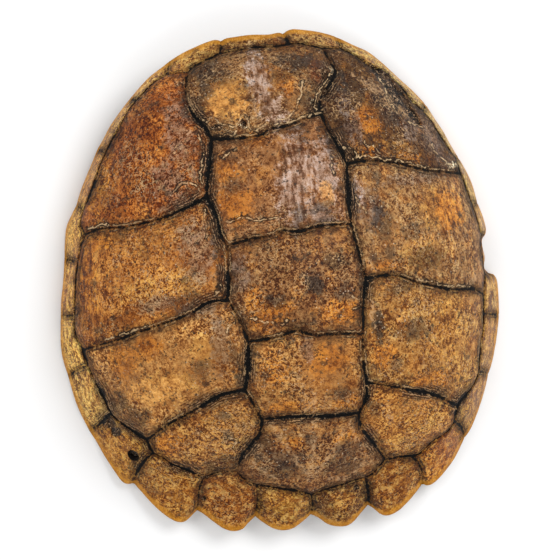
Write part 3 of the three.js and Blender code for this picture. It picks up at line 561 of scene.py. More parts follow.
textures = {
    "streaky": [
        (-85, 85, 24, 34), (-112, 10, 12, 28), (104, 20, 12, 30), (78, 98, 14, 20),
        (0, 112, 9, 24), (10, 60, 12, 30), (0, -98, 26, 16), (-126, -16, 8, 62),
        (128, 4, 8, 60),
    ],
    "cracked": [
        (-40, 75, 6, 20), (-41, 40, 5, 18), (38, 112, 8, 12), (40, 74, 5, 12), (-38, 100, 5, 14),
        (-33, -44, 5, 12), (39, 45, 4, 16), (-50, -2, 10, 6), (-54, 55, 12, 6), (-100, -86, 8, 10),
        (-113, -55, 6, 16), (-103, -75, 10, 8), (-76, -99, 14, 5), (0, -78, 26, 3),
        (-36, -91, 6, 9), (-52, -60, 20, 5), (94, -84, 8, 8), (36, -96, 5, 10),
        (72, -73, 18, 4), (42, -10, 4, 10), (28, 97, 6, 6), (-40, 5, 4, 12), (34, -66, 5, 8),
    ],
    "coarse": [
        (-60, -88, 26, 16), (62, -90, 24, 16), (-78, 84, 34, 36), (70, 90, 34, 30),
        (2, -98, 36, 18), (6, 6, 26, 18), (-16, -48, 14, 14),
    ],
    "smooth": [
        (-75, -42, 30, 18), (-20, 110, 13, 9), (-26, 54, 13, 20), (14, 60, 18, 30),
        (2, 112, 7, 20), (12, -48, 16, 16),
        (60, -86, 12, 9), (-14, -18, 12, 5), (16, 103, 6, 8), (60, 84, 12, 12), (-88, -26, 9, 8),
    ],
}


def spread(places, edge=0.55):
    """How strongly a place marked with any of the given spots is covered, from 0 to 1."""
    covered = np.zeros(len(plan))
    for x, y, half_x, half_y in places:
        away = np.hypot((plan[:, 0] - x) / half_x, (plan[:, 1] - y) / half_y)
        covered = np.maximum(covered, 1 - eased(away, edge, 2 - edge))
    return covered


def from_lines(given_lines, step=0.2):
    """The way to every point of the skin from the nearest point on any of the lines, and the
    share of the lines that lies before that point."""
    dense = np.vstack([smooth_line(line, step) for line in given_lines])
    hit, _ = nearest_of(dense, plan)
    return plan - dense[hit], hit / (len(dense) - 1)


flake_depth = 1.5
lip_height = 0.22
from_torn, _ = from_lines(torn_edges)
from_faint, _ = from_lines(faint_lines)
from_trough, along_trough = from_lines([trough])
trough_width = np.interp(along_trough, np.linspace(0, 1, len(trough)), [w for _, _, w in trough])
in_trough = np.hypot(*from_trough.T) / trough_width + 0.45 * fine_lumps
in_pit = spread(flaked_pits, 0.5) * (0.8 + 0.5 * fine_lumps)
flaked = np.maximum(in_pit, 1 - eased(in_trough, 0.5, 1.2))
crumble = 1 + 0.3 * fine_lumps + 0.4 * roughness_at(base_points, 2.4, 2, 23.0)
skin_points[:, 2] -= flake_depth * eased(flaked, 0.25, 0.85) * crumble

lipped_furrows = [
    (-12, 90, 26, 9), (22, 97, 14, 8), (40, 108, 7, 16), (-10, -31, 24, 4), (20, -33, 16, 4),
    (-68, 45, 34, 6), (82, 57, 32, 6), (-70, -12, 40, 8), (-62, -63, 30, 10), (70, -72, 24, 8),
    (75, -11, 36, 8), (-108, -50, 8, 22), (112, -45, 8, 24), (0, -78, 24, 4), (8, 29, 30, 4),
    (-36, 20, 4, 26), (38, 20, 4, 26), (-30, -45, 4, 20), (36, -48, 4, 20), (-38, 105, 6, 24),
]
in_front = (flat - furrow_points[nearest])[:, 1] > 0
lips = spread(lipped_furrows, 0.7) * np.where(in_front, 1, 0.45)
lip_line = np.exp(-((furrow_distance - 2.3 - 0.5 * wander) / 0.75) ** 2)
skin_points[:, 2] += lip_height * lips * lip_line

# The scutes' own colours, as seen on a screen. Horn is amber to umber and paler where it has
# worn thin to the bone, as on the marginals.
scutes = {
    "V1": (0, 112, (148, 104, 60)), "V2": (0, 58, (148, 98, 56)), "V3": (0, 0, (130, 84, 44)),
    "V4": (0, -52, (166, 110, 54)), "V5": (2, -98, (146, 96, 50)),
    "C1L": (-75, 85, (170, 94, 34)), "C2L": (-80, 15, (176, 108, 44)),
    "C3L": (-75, -42, (184, 126, 66)), "C4L": (-60, -85, (172, 114, 52)),
    "C1R": (70, 90, (86, 52, 20)), "C2R": (80, 25, (154, 108, 60)),
    "C3R": (80, -42, (164, 112, 54)), "C4R": (62, -90, (178, 116, 50)),
    "N": (0, 142, (130, 90, 46)), "M1L": (-35, 139, (194, 144, 76)),
    "M2L": (-62, 127, (200, 150, 78)), "M3L": (-84, 104, (208, 156, 80)),
    "M4L": (-104, 75, (220, 166, 82)), "M5L": (-117, 45, (218, 164, 80)),
    "M6L": (-124, 14, (214, 154, 72)), "M7L": (-127, -18, (224, 170, 82)),
    "M8L": (-122, -52, (214, 166, 88)), "M9L": (-106, -88, (178, 122, 46)),
    "M10L": (-80, -114, (166, 108, 42)), "M11L": (-48, -124, (150, 90, 34)),
    "M12L": (-15, -132, (152, 104, 40)), "M12R": (17, -134, (122, 78, 28)),
    "M11R": (50, -128, (142, 86, 26)), "M10R": (82, -114, (170, 102, 24)),
    "M9R": (107, -84, (172, 118, 44)), "M8R": (122, -52, (176, 124, 54)),
    "M7R": (126, -22, (176, 128, 60)), "M6R": (123, 3, (170, 118, 56)),
    "M5R": (126, 22, (182, 134, 62)), "M4R": (121, 47, (190, 150, 76)),
    "M3R": (109, 79, (196, 158, 84)), "M2R": (77, 121, (194, 156, 84)),
    "M1R": (36, 141, (160, 120, 68)),
}


def from_screen(red, green, blue):
    """A colour as seen on a screen, 0 to 255, as light amounts."""
    seen = np.array([red, green, blue]) / 255
    return np.where(seen <= 0.04045, seen / 12.92, ((seen + 0.055) / 1.055) ** 2.4)


def inside(outline, points):
    """Which points lie inside a closed outline."""
    crossed = np.zeros(len(points), bool)
    x, y = points.T
    for (ax, ay), (bx, by) in zip(outline, np.roll(outline, -1, axis=0)):
        if ay != by:
            crossed ^= ((ay > y) != (by > y)) & (x < (bx - ax) * (y - ay) / (by - ay) + ax)
    return crossed


names = list(scutes)
centres = unroll(np.array([scutes[name][:2] for name in names], float))
face_middle = flat[skin_faces].mean(axis=1)
face_scute = np.zeros(len(skin_faces), int)
for outline in scute_outlines:
    middle = outline.mean(axis=0)
    low, high = outline.min(axis=0), outline.max(axis=0)
    near = np.all((face_middle >= low) & (face_middle <= high), axis=1)
    held = np.nonzero(near)[0][inside(outline, face_middle[near])]
    face_scute[held] = np.argmin(np.hypot(*(centres - middle).T))
shade_of_scute = np.array([from_screen(*scutes[name][2]) for name in names])

# The underside: bare bone. The wall is thin under the dome and thicker at the rim, with a
# flat worn foot along both sides, and low swells where the ribs run inside the plates.
under_rows = rows // 2
under_reach = 0.985
foot_in = 1.2


def under_point(bearing, radius, thickness):
    """The outer face moved inwards by the wall's thickness."""
    small = 0.5
    edge = rim_radius(bearing)
    outward = np.minimum(radius, edge - small)
    rise = dome_at(bearing, outward + small) - dome_at(bearing, outward - small)
    slope = rise / (2 * small)
    back = thickness / np.hypot(1, slope)
    inwards = radius + slope * back
    height = np.maximum(0, dome_at(bearing, radius) - back)
    return np.c_[np.cos(bearing) * inwards, np.sin(bearing) * inwards, height]


edge_bearing = skin_bearing[on_rim]
edge_radius = rim_radius(edge_bearing)
foot = np.c_[
    np.cos(edge_bearing) * (edge_radius - foot_in),
    np.sin(edge_bearing) * (edge_radius - foot_in),
    at_bearing(foot_height, edge_bearing),
]
inner_foot = under_point(edge_bearing, edge_radius, bone_at_rim)

under_bearing, under_share = ring_of_rows(under_rows)
under_width = ring_radius(under_bearing) + marginal_width(under_bearing)
under_flat = np.c_[np.cos(under_bearing), np.sin(under_bearing)]
under_flat = under_flat * (under_share * under_width * under_reach)[:, None]
_, under_radius = roll_up(under_flat)
to_middle = np.clip(1 - under_radius / ring_radius(under_bearing), 0, 1)
wall = bone_at_rim + (bone_at_centre - bone_at_rim) * np.clip(2 * to_middle, 0, 1)

vertebra_count = 10
backbone_front = 116
backbone_back = -112
vertebra_length = (backbone_front - backbone_back) / vertebra_count
rib_set_back = 2
rib_bow = 0.00144
rib_swell_height = 1.5
rim_seam_in = 9
rim_bones = 24
rib_rows = [backbone_front - k * vertebra_length for k in range(1, vertebra_count)]
under_x = np.cos(under_bearing) * under_radius
under_y = np.sin(under_bearing) * under_radius
rib_swell = np.zeros(len(under_x))
for y in rib_rows:
    rib_y = y - rib_set_back + rib_bow * under_x**2 * np.sign(y)
    rib_swell = np.maximum(rib_swell, np.exp(-((under_y - rib_y) / 4.2) ** 2))
rib_swell *= eased(np.abs(under_x), 16, 30) * (1 - eased(np.abs(under_x), 84, 104))
under_points = under_point(under_bearing, under_radius, wall + rib_swell_height * rib_swell)


def seams_at(bearings, radii):
    """Where a point lies among the bone plates: in ribs along the back, in millimetres out
    from the seam inside the rim, and on a wave that is zero between two rim bones."""
    x = np.cos(bearings) * radii
    y = np.sin(bearings) * radii
    straight_y = y + rib_set_back - rib_bow * x**2 * np.clip(y / 30, -1, 1)
    ribs_back = (backbone_front - straight_y) / vertebra_length
    from_ring = radii - ring_radius(bearings) + rim_seam_in
    return np.c_[ribs_back, from_ring, 10 * np.cos(rim_bones / 2 * bearings)]


under_points[:, 2] += 0.25 * roughness_at(under_points, 11, 4, 31.0) * (under_points[:, 2] > 3)

skin_count = len(skin_points)
edge_count = len(edge_bearing)
edge_ids = np.nonzero(on_rim)[0]
foot_ids = skin_count + np.arange(edge_count)
inner_foot_ids = foot_ids + edge_count
under_start = skin_count + 2 * edge_count
under_edge_ids = under_start + np.nonzero(under_share > 0.999)[0]
rim_faces = []
for k in range(edge_count):
    following = (k + 1) % edge_count
    for upper, lower in ((edge_ids, foot_ids), (foot_ids, inner_foot_ids)):
        rim_faces.append((upper[k], lower[k], lower[following]))
        rim_faces.append((upper[k], lower[following], upper[following]))
for k in range(edge_count // 2):
    first, second = 2 * k, 2 * k + 1
    third = (2 * k + 2) % edge_count
    near_edge, next_edge = under_edge_ids[k], under_edge_ids[(k + 1) % (edge_count // 2)]
    rim_faces.append((inner_foot_ids[first], near_edge, inner_foot_ids[second]))
    rim_faces.append((inner_foot_ids[second], near_edge, next_edge))
    rim_faces.append((inner_foot_ids[second], next_edge, inner_foot_ids[third]))
under_faces = disc_faces(under_rows)[:, ::-1] + under_start

all_points = np.vstack([skin_points, foot, inner_foot, under_points]) / 1000
all_faces = np.vstack([skin_faces, np.array(rim_faces), under_faces])
shell_mesh = bpy.data.meshes.new("carapace_skin")
shell_mesh.from_pydata(all_points.tolist(), [], all_faces.tolist())
shell_mesh.update()


def give_points(name, values, fill=0.0):
    """A number for every point of the shell; the points off the horn get the fill."""
    whole = np.full(len(all_points), fill, np.float32)
    whole[:skin_count] = values
    layer = shell_mesh.attributes.new(name, "FLOAT", "POINT")
    layer.data.foreach_set("value", whole)


def give_vectors(mesh, name, vectors):
    """A vector for every point of a mesh."""
    layer = mesh.attributes.new(name, "FLOAT_VECTOR", "POINT")
    layer.data.foreach_set("vector", np.asarray(vectors, np.float32).ravel())


give_points("furrow", furrow_distance, 12.0)
give_points("flaked", flaked)
give_points("lip", lips)
for name, places in {**stains, **textures}.items():
    give_points(name, spread(places, 0.25))
give_points("marginal", is_marginal, 1.0)
give_points("edge", eased(skin_share, 0.945, 0.995), 1.0)
far_from_lines = 20
for name, offsets in (("torn", from_torn), ("faint", from_faint)):
    whole_offsets = np.full((len(all_points), 3), far_from_lines, float)
    whole_offsets[:skin_count] = np.c_[offsets, np.zeros(skin_count)]
    give_vectors(shell_mesh, name, whole_offsets)
seams = seams_at(
    np.concatenate([bearing, edge_bearing, edge_bearing, under_bearing]),
    np.concatenate([radius, edge_radius, edge_radius, under_radius]),
)
give_vectors(shell_mesh, "seams", seams)

corner_colour = np.ones((len(all_faces) * 3, 4), np.float32)
corner_colour[:, :3] = from_screen(184, 138, 80)
corner_colour[:len(skin_faces) * 3, :3] = np.repeat(shade_of_scute[face_scute], 3, axis=0)
horn_layer = shell_mesh.attributes.new("horn", "FLOAT_COLOR", "CORNER")
horn_layer.data.foreach_set("color", corner_colour.ravel())
shell_mesh.shade_smooth()
first_under = len(skin_faces) + 2 * edge_count
material_of_face = np.zeros(len(all_faces), np.int32)
material_of_face[first_under:] = 1
shell_mesh.polygons.foreach_set("material_index", material_of_face)
horn = bpy.data.materials.new("old_horn")
bone = bpy.data.materials.new("bare_bone")
hole_wall = bpy.data.materials.new("wall_of_the_drilled_hole")
for material in (horn, bone, hole_wall):
    shell_mesh.materials.append(material)


def new_object(name, data):
    made = bpy.data.objects.new(name, data)
    bpy.context.collection.objects.link(made)
    return made


shell = new_object("carapace_skin", shell_mesh)

# The hole drilled through the left hind marginal, square to its slope. It goes through horn
# and bone alike, and its wall is bare bone, painted near black as the shade inside the hole.
drilled_hole_at = (-99.7, -87.9)
drilled_hole_radius = 3.7
drill_length = 40
drill_lean = 0.45


def drill_hole():
    """Cuts the hole out of the shell, with a material of its own on the wall."""
    x, y = drilled_hole_at
    bearing = math.atan2(y, x)
    height = float(dome_at(np.array([bearing]), np.array([math.hypot(x, y)]))[0])
    drill_mesh = bpy.data.meshes.new("drill")
    shape = bmesh.new()
    bmesh.ops.create_cone(
        shape, cap_ends=True, segments=40, depth=drill_length / 1000,
        radius1=drilled_hole_radius / 1000, radius2=drilled_hole_radius / 1000,
    )
    lean = Matrix.Rotation(bearing, 4, "Z") @ Matrix.Rotation(drill_lean, 4, "Y")
    place = Matrix.Translation((x / 1000, y / 1000, height / 1000))
    bmesh.ops.transform(shape, matrix=place @ lean, verts=shape.verts)
    shape.to_mesh(drill_mesh)
    shape.free()
    for name in ("torn", "faint", "seams"):
        give_vectors(drill_mesh, name, np.full((len(drill_mesh.vertices), 3), far_from_lines))
    for material in (horn, bone, hole_wall):
        drill_mesh.materials.append(material)
    wall_slots = np.full(len(drill_mesh.polygons), 2, np.int32)
    drill_mesh.polygons.foreach_set("material_index", wall_slots)
    drill = new_object("drill", drill_mesh)
    cut = shell.modifiers.new("drilled_hole", "BOOLEAN")
    cut.operation = "DIFFERENCE"
    cut.solver = "EXACT"
    cut.object = drill
    evaluated = shell.evaluated_get(bpy.context.evaluated_depsgraph_get())
    drilled = bpy.data.meshes.new_from_object(evaluated)
    shell.modifiers.remove(cut)
    shell.data = drilled
    bpy.data.objects.remove(drill)


drill_hole()

# Old horn: amber to umber, mottled with dark dots and pale flecks, with black earth packed in
# the furrows and the soft shine of a handled specimen.
horn.use_nodes = True
tree = horn.node_tree
finish_of_horn = tree.nodes["Principled BSDF"]


def attribute(name, output="Fac"):
    node = tree.nodes.new("ShaderNodeAttribute")
    node.attribute_name = name
    return node.outputs[output]


def put(socket, value):
    """Links an output to a socket, or sets a plain value on it."""
    if isinstance(value, bpy.types.NodeSocket):
        socket.id_data.links.new(value, socket)
    else:
        socket.default_value = value


def worked_out(how, a, b=0.0):
    """One calculation on numbers or patterns."""
    node = tree.nodes.new("ShaderNodeMath")
    node.operation = how
    put(node.inputs[0], a)
    put(node.inputs[1], b)
    return node.outputs[0]


def sum_of(a, b):
    return worked_out("ADD", a, b)


def product(a, b):
    return worked_out("MULTIPLY", a, b)


def stretch(value, low, high, to_low=0.0, to_high=1.0):
    """Eases a value from one range to another."""
    node = tree.nodes.new("ShaderNodeMapRange")
    node.interpolation_type = "SMOOTHSTEP"
    for socket, given in zip(node.inputs, (value, low, high, to_low, to_high)):
        put(socket, given)
    return node.outputs[0]


def spotted(place, size, detail=3.0, rough=0.55, swirl=0.0):
    """Cloudy pattern with lumps of a size in millimetres, from 0 to 1."""
    node = tree.nodes.new("ShaderNodeTexNoise")
    put(node.inputs["Vector"], place)
    node.inputs["Scale"].default_value = 1000 / size
    node.inputs["Detail"].default_value = detail
    node.inputs["Roughness"].default_value = rough
    node.inputs["Distortion"].default_value = swirl
    return node.outputs["Fac"]


def dotted(place, size):
    """Distance to the nearest of scattered dots a size apart, in parts of that size."""
    node = tree.nodes.new("ShaderNodeTexVoronoi")
    put(node.inputs["Vector"], place)
    node.inputs["Scale"].default_value = 1000 / size
    return node.outputs["Distance"]


def painted(amount, under, over, how="MIX"):
    """One colour over another, in the given amount."""
    node = tree.nodes.new("ShaderNodeMix")
    node.data_type = "RGBA"
    node.blend_type = how
    put(node.inputs["Factor"], amount)
    put(node.inputs["A"], under)
    put(node.inputs["B"], over)
    return node.outputs["Result"]


def screen_colour(red, green, blue):
    return (*from_screen(red, green, blue), 1.0)


def coated(under, cover, strength, *seen):
    """A colour under a coat of another one, given as seen on a screen."""
    return painted(product(cover, strength), under, screen_colour(*seen))


def object_place():
    return tree.nodes.new("ShaderNodeTexCoord").outputs["Object"]


def turned_place(place, degrees, squeeze=(1, 1, 1)):
    node = tree.nodes.new("ShaderNodeMapping")
    put(node.inputs["Vector"], place)
    node.inputs["Rotation"].default_value = (0, 0, math.radians(degrees))
    node.inputs["Scale"].default_value = squeeze
    return node.outputs["Vector"]


def wriggles(place, size, width):
    """Thin curling lines, where a cloudy pattern crosses its middle value."""
    off_middle = worked_out("ABSOLUTE", sum_of(spotted(place, size, 2.5, 0.5), -0.5))
    return stretch(off_middle, 0.0, width, 1.0, 0.0)


def vector_of(how, *vectors, scale=None):
    """One calculation on vectors. A scale is a plain number or a pattern."""
    node = tree.nodes.new("ShaderNodeVectorMath")
    node.operation = how
    for socket, vector in zip(node.inputs, vectors):
        put(socket, vector)
    if scale is not None:
        put(node.inputs["Scale"], scale)
    return node.outputs["Value" if how == "LENGTH" else "Vector"]


def band(value, low, high, soft):
    """One between the two values, easing to zero outside them."""
    return product(stretch(value, low - soft, low), stretch(value, high, high + soft, 1.0, 0.0))


def off(pattern, reach):
    """A pattern of 0 to 1 as an offset that swings by half the reach either way."""
    return product(sum_of(pattern, -0.5), reach)


here = object_place()
clouds = spotted(here, 22, 6, 0.6)
smoke = spotted(turned_place(here, 25), 13, 8, 0.68)
clearings = spotted(turned_place(here, 70), 11, 7, 0.66)
worn = spotted(turned_place(here, 110), 17, 3)
blotches = spotted(here, 5, 5, 0.62)
grain = spotted(here, 2.8, 2, 0.6, 1.6)
fine_grain = spotted(turned_place(here, 40), 1.7, 2, 0.6, 1.2)
along_body = turned_place(here, 4, (1, 0.22, 0.6))
streaks = spotted(along_body, 2.2, 3, 0.6)
furrow = attribute("furrow")
marginal = attribute("marginal")
streaky = stretch(sum_of(attribute("streaky"), off(smoke, 1.2)), 0.2, 0.8)
smooth = stretch(sum_of(attribute("smooth"), off(smoke, 1.0)), 0.15, 0.7)
flecks_on_smooth_horn = 0.42
more_on_coarse_horn = 0.42
more_on_marginals = 0.15
rough_here = stretch(smooth, 0, 1, 1.0, flecks_on_smooth_horn)
rough_here = product(stretch(worn, 0.4, 0.6, 0.45, 1.1), rough_here)
rough_here = sum_of(rough_here, product(attribute("coarse"), more_on_coarse_horn))
rough_here = sum_of(rough_here, product(marginal, more_on_marginals))


def toned(seen, tone):
    """A colour darkened or lightened as horn is: thick horn is redder, thin horn is paler."""
    ramp = tree.nodes.new("ShaderNodeValToRGB")
    stops = [
        (0.12, (0.2, 0.12, 0.07)), (0.32, (0.43, 0.32, 0.23)), (0.52, (1, 1, 1)),
        (0.72, (1.38, 1.6, 1.9)), (0.92, (1.65, 2.2, 2.95)),
    ]
    largest_gain = 3
    while len(ramp.color_ramp.elements) < len(stops):
        ramp.color_ramp.elements.new(0.5)
    for element, (place, gains) in zip(ramp.color_ramp.elements, stops):
        element.position = place
        element.color = (*(gain / largest_gain for gain in gains), 1)
    put(ramp.inputs["Fac"], tone)
    shaded = vector_of("MULTIPLY", seen, ramp.outputs["Color"])
    return vector_of("SCALE", shaded, scale=largest_gain)


colour = attribute("horn", "Color")
colour = painted(stretch(clearings, 0.5, 0.62, 0.0, 0.4), colour, screen_colour(198, 128, 54))
colour = painted(stretch(smoke, 0.52, 0.66, 0.0, 0.5), colour, screen_colour(84, 46, 18))

# Two of these are light painted into the horn: the grey-mauve sheen and, in part, the pale amber
# glow.
stain_colours = {
    "gold": ((190, 130, 56), 0.5), "amber": ((186, 108, 28), 0.65),
    "umber": ((58, 36, 18), 0.72), "ash": ((112, 88, 72), 0.6),
    "painted_sheen": ((166, 133, 112), 0.76), "rust": ((100, 40, 6), 0.6),
    "glow": ((216, 150, 76), 0.7), "smoke": ((40, 34, 30), 0.6),
    "cream": ((226, 200, 156), 0.95),
}
for stain, (seen, strength) in stain_colours.items():
    ragged = sum_of(attribute(stain), off(smoke, 1.4))
    ragged = sum_of(ragged, off(blotches, 3.0))
    ragged = sum_of(ragged, off(grain, 1.4))
    cover = product(stretch(ragged, 0.3, 0.95), strength)
    cover = product(cover, stretch(attribute(stain), 0.02, 0.6))
    colour = painted(cover, colour, screen_colour(*seen))

# Light and dark in the horn at every size, down to flecks; streaks along the body.
tone = product(off(blotches, 1.0), stretch(smooth, 0, 1, 1.0, 0.6))
tone = sum_of(tone, off(smoke, 0.9))
fleck = sum_of(off(grain, 1.3), off(fine_grain, 2.2))
tone = sum_of(tone, product(fleck, rough_here))
tone = sum_of(tone, product(off(streaks, 1.6), stretch(streaky, 0, 1, 0.2, 1.0)))
colour = toned(colour, sum_of(tone, 0.485))
flecked = stretch(fleck, 0.1, 0.3)

# Soft dark spots, dark dots in clusters, painted glints of light beside them, dark cracks, pale
# curling scale marks and faint growth lines.
dots = stretch(sum_of(dotted(here, 3.2), product(grain, 0.7)), 0.5, 0.6, 1.0, 0.0)
soft_spots = stretch(spotted(turned_place(here, 150), 7, 5, 0.62), 0.585, 0.66)
soft_spots = product(soft_spots, stretch(marginal, 0, 1, 1.0, 0.5))
colour = coated(colour, soft_spots, 0.66, 42, 34, 27)
dots_here = sum_of(blotches, product(attribute("smoke"), 0.16))
dots = product(dots, stretch(dots_here, 0.46, 0.54))
colour = coated(colour, dots, 0.8, 36, 30, 27)
# Painted highlights: tiny pale glints beside the dark dots, where light would catch their rims.
painted_glints = stretch(sum_of(dotted(turned_place(here, 33), 2.6), product(grain, 0.4)), 0.3, 0.38, 1, 0)
painted_glints = product(painted_glints, stretch(dots_here, 0.48, 0.56))
colour = coated(colour, painted_glints, 0.6, 206, 180, 150)
cracks = product(wriggles(turned_place(here, 70), 6, 0.016), stretch(smoke, 0.46, 0.56))
colour = coated(colour, cracks, 0.8, 26, 16, 10)
curls = product(wriggles(turned_place(here, 15), 3.4, 0.035), stretch(clouds, 0.44, 0.56))
colour = coated(colour, product(curls, rough_here), 0.5, 222, 178, 126)
wave_place = sum_of(furrow, off(blotches, 7.0))
growth = stretch(worked_out("SINE", product(wave_place, 3.3)), 0.1, 0.9)
growth = product(growth, stretch(furrow, 7, 20, 1.0, 0.0))
growth = product(growth, stretch(clouds, 0.42, 0.56))
colour = coated(colour, growth, 0.42, 60, 34, 14)

# Marginals: pale worn horn with rust-brown specks.
speck = stretch(sum_of(dotted(here, 4.6), product(grain, 0.8)), 0.62, 0.74, 1.0, 0.0)
speck = product(product(speck, marginal), stretch(smoke, 0.42, 0.56))
colour = coated(colour, speck, 0.7, 128, 72, 16)
chalk = product(stretch(sum_of(blotches, off(fine_grain, 0.7)), 0.53, 0.64), marginal)
colour = coated(colour, chalk, 0.32, 228, 192, 126)
colour = painted(product(marginal, 0.5), colour, screen_colour(255, 238, 184), "MULTIPLY")

# Furrows: black earth in the crack, which swells and thins, with pale grit in it where the
# horn is cracked, painted shade darkening the horn alongside, finer cracks, and here and there
# a pale lip that is partly a painted shine of the furrow's wall.
frayed = sum_of(furrow, off(grain, 1.8))
frayed = sum_of(frayed, off(blotches, 3.4))
wide_here = off(smoke, 14.0)
cracked = stretch(sum_of(attribute("cracked"), off(blotches, 1.6)), 0.2, 0.8)
# Painted shade: the horn darkened for some millimetres along every furrow, and more where it is
# cracked.
furrow_shade = stretch(sum_of(frayed, product(wide_here, -1.0)), 0.2, 6.5, 1.0, 0.0)
furrow_shade = worked_out("MAXIMUM", furrow_shade, product(cracked, stretch(furrow, 3, 9, 0.9, 0.0)))
colour = coated(colour, furrow_shade, 0.68, 36, 24, 15)
side_wave = worked_out("SINE", product(frayed, 4.2))
side_crack = product(stretch(side_wave, 0.3, 0.8), stretch(frayed, 3.0, 8.0, 1.0, 0.0))
side_crack = product(side_crack, cracked)
near_crack = product(band(frayed, 1.9, 2.2, 0.5), stretch(blotches, 0.46, 0.56))
side_crack = worked_out("MAXIMUM", side_crack, near_crack)
colour = coated(colour, side_crack, 0.85, 18, 12, 9)
side_ridge = product(stretch(side_wave, -0.6, -0.9), stretch(frayed, 3.0, 8.0, 1.0, 0.0))
side_ridge = product(product(side_ridge, cracked), stretch(grain, 0.44, 0.56))
colour = coated(colour, side_ridge, 0.7, 188, 150, 112)
# A pale lip beside the furrow, partly a painted shine of light off the furrow's wall.
lip_and_wall_shine = band(sum_of(sum_of(furrow, off(grain, 2.2)), off(fine_grain, 1.6)), 1.2, 1.4, 0.35)
lip_and_wall_shine = product(lip_and_wall_shine, stretch(sum_of(attribute("lip"), off(blotches, 5.0)), 0.5, 1.1))
colour = coated(colour, lip_and_wall_shine, 0.75, 190, 154, 110)
wide_earth = sum_of(product(wide_here, -0.3), product(cracked, -0.9))
earth = stretch(sum_of(frayed, wide_earth), 0.2, 0.9, 1.0, 0.0)
colour = painted(earth, colour, screen_colour(8, 6, 5))
grit = stretch(sum_of(fine_grain, off(grain, 0.5)), 0.59, 0.66)
grit = product(grit, stretch(furrow, 0.5, 1.2))
grit = product(product(grit, earth), stretch(cracked, 0.1, 0.7))
colour = coated(colour, grit, 0.7, 150, 124, 98)

# Flaked pits and the trough: dark hollows with pale crumbs. Torn edges: a bright thin line of
# split horn with a dark crack along it. The outer edge of the rim is brighter amber.
sway_length = 4
strays = tree.nodes.new("ShaderNodeTexNoise")
put(strays.inputs["Vector"], here)
strays.inputs["Scale"].default_value = 1000 / sway_length


def from_line(name, sway):
    """Distance to the nearest line of an attribute, which noise makes sway from side to side."""
    offset = attribute(name, "Vector")
    swayed = vector_of("MULTIPLY_ADD", strays.outputs["Color"], (sway, sway, 0), offset)
    return vector_of("LENGTH", vector_of("SUBTRACT", swayed, (sway / 2, sway / 2, 0)))


flaked_here = stretch(sum_of(attribute("flaked"), off(blotches, 1.6)), 0.2, 0.7)
flaked_here = product(flaked_here, stretch(attribute("flaked"), 0.05, 0.3))
colour = coated(colour, flaked_here, 0.95, 66, 44, 26)
hollow = stretch(sum_of(off(grain, 1.2), off(blotches, 1.2)), -0.04, 0.08, 1.0, 0.0)
hollow = product(hollow, flaked_here)
colour = coated(colour, hollow, 0.95, 4, 3, 2)
crumbs = product(stretch(fine_grain, 0.58, 0.64), flaked_here)
colour = coated(colour, crumbs, 0.75, 200, 164, 126)
faint = sum_of(from_line("faint", 7.0), off(fine_grain, 5.0))
faint_line = product(stretch(faint, 0.3, 2.0, 1.0, 0.0), stretch(grain, 0.42, 0.56))
colour = coated(colour, faint_line, 0.55, 206, 164, 118)
torn = sum_of(from_line("torn", 4.4), off(grain, 1.2))
torn_crack = product(band(torn, 0.7, 1.1, 0.4), stretch(smoke, 0.4, 0.55))
colour = coated(colour, torn_crack, 0.85, 24, 16, 10)
torn_line = product(stretch(torn, 0.2, 0.6, 1.0, 0.0), stretch(blotches, 0.36, 0.56, 0.35, 1.0))
colour = coated(colour, torn_line, 0.78, 220, 186, 140)
rim_edge = stretch(sum_of(attribute("edge"), off(blotches, 1.8)), 0.3, 0.9)
colour = coated(colour, rim_edge, 0.6, 204, 136, 32)
put(finish_of_horn.inputs["Base Color"], colour)

shine = stretch(worn, 0.35, 0.65, 0.26, 0.42)
shine = sum_of(shine, product(grain, 0.14))
shine = sum_of(shine, product(furrow_shade, 0.25))
put(finish_of_horn.inputs["Roughness"], shine)
finish_of_horn.inputs["Specular IOR Level"].default_value = 0.12


def raise_marks(finish, strength, marks):
    """Fine relief on a finish: every mark with its height, in parts of a millimetre."""
    first, first_height = marks[0]
    height = product(first, first_height)
    for mark, mark_height in marks[1:]:
        height = sum_of(height, product(mark, mark_height))
    bump = tree.nodes.new("ShaderNodeBump")
    bump.inputs["Distance"].default_value = 0.001
    bump.inputs["Strength"].default_value = strength
    put(bump.inputs["Height"], height)
    put(finish.inputs["Normal"], bump.outputs["Normal"])


raise_marks(finish_of_horn, 0.6, [
    (flecked, -0.1), (fine_grain, 0.6), (streaks, -0.35), (dots, -0.4), (cracks, -0.35),
    (curls, 0.3), (earth, -0.6), (side_crack, -0.3), (lip_and_wall_shine, 0.4), (torn_line, 0.7),
    (torn_crack, -0.4), (growth, -0.2), (hollow, -1.2),
])

# Bare bone on the underside: cream and porous, browner towards the rim, with fine zigzag
# seams where the costal plates and the rim bones have grown together.
bone.use_nodes = True
tree = bone.node_tree
finish_of_bone = tree.nodes["Principled BSDF"]
here = object_place()
bone_clouds = spotted(here, 18, 4)
bone_grain = spotted(here, 1.5, 4, 0.65)
pores = stretch(sum_of(dotted(here, 2.2), product(bone_grain, 0.4)), 0.24, 0.36, 1.0, 0.0)
bone_colour = painted(stretch(bone_clouds, 0.3, 0.7), screen_colour(206, 184, 146),
                      screen_colour(172, 138, 94))
bone_colour = coated(bone_colour, pores, 0.55, 104, 76, 48)
bone_colour = coated(bone_colour, stretch(bone_grain, 0.5, 0.8), 0.3, 140, 108, 70)
seam_parts = tree.nodes.new("ShaderNodeSeparateXYZ")
put(seam_parts.inputs[0], attribute("seams", "Vector"))
ribs_back, from_ring, rim_wave = seam_parts.outputs
zigzag = off(spotted(here, 2.6, 2, 0.6), 7.0)
between_ribs = worked_out("COSINE", product(ribs_back, math.pi))
between_ribs = product(between_ribs, vertebra_length / math.pi)
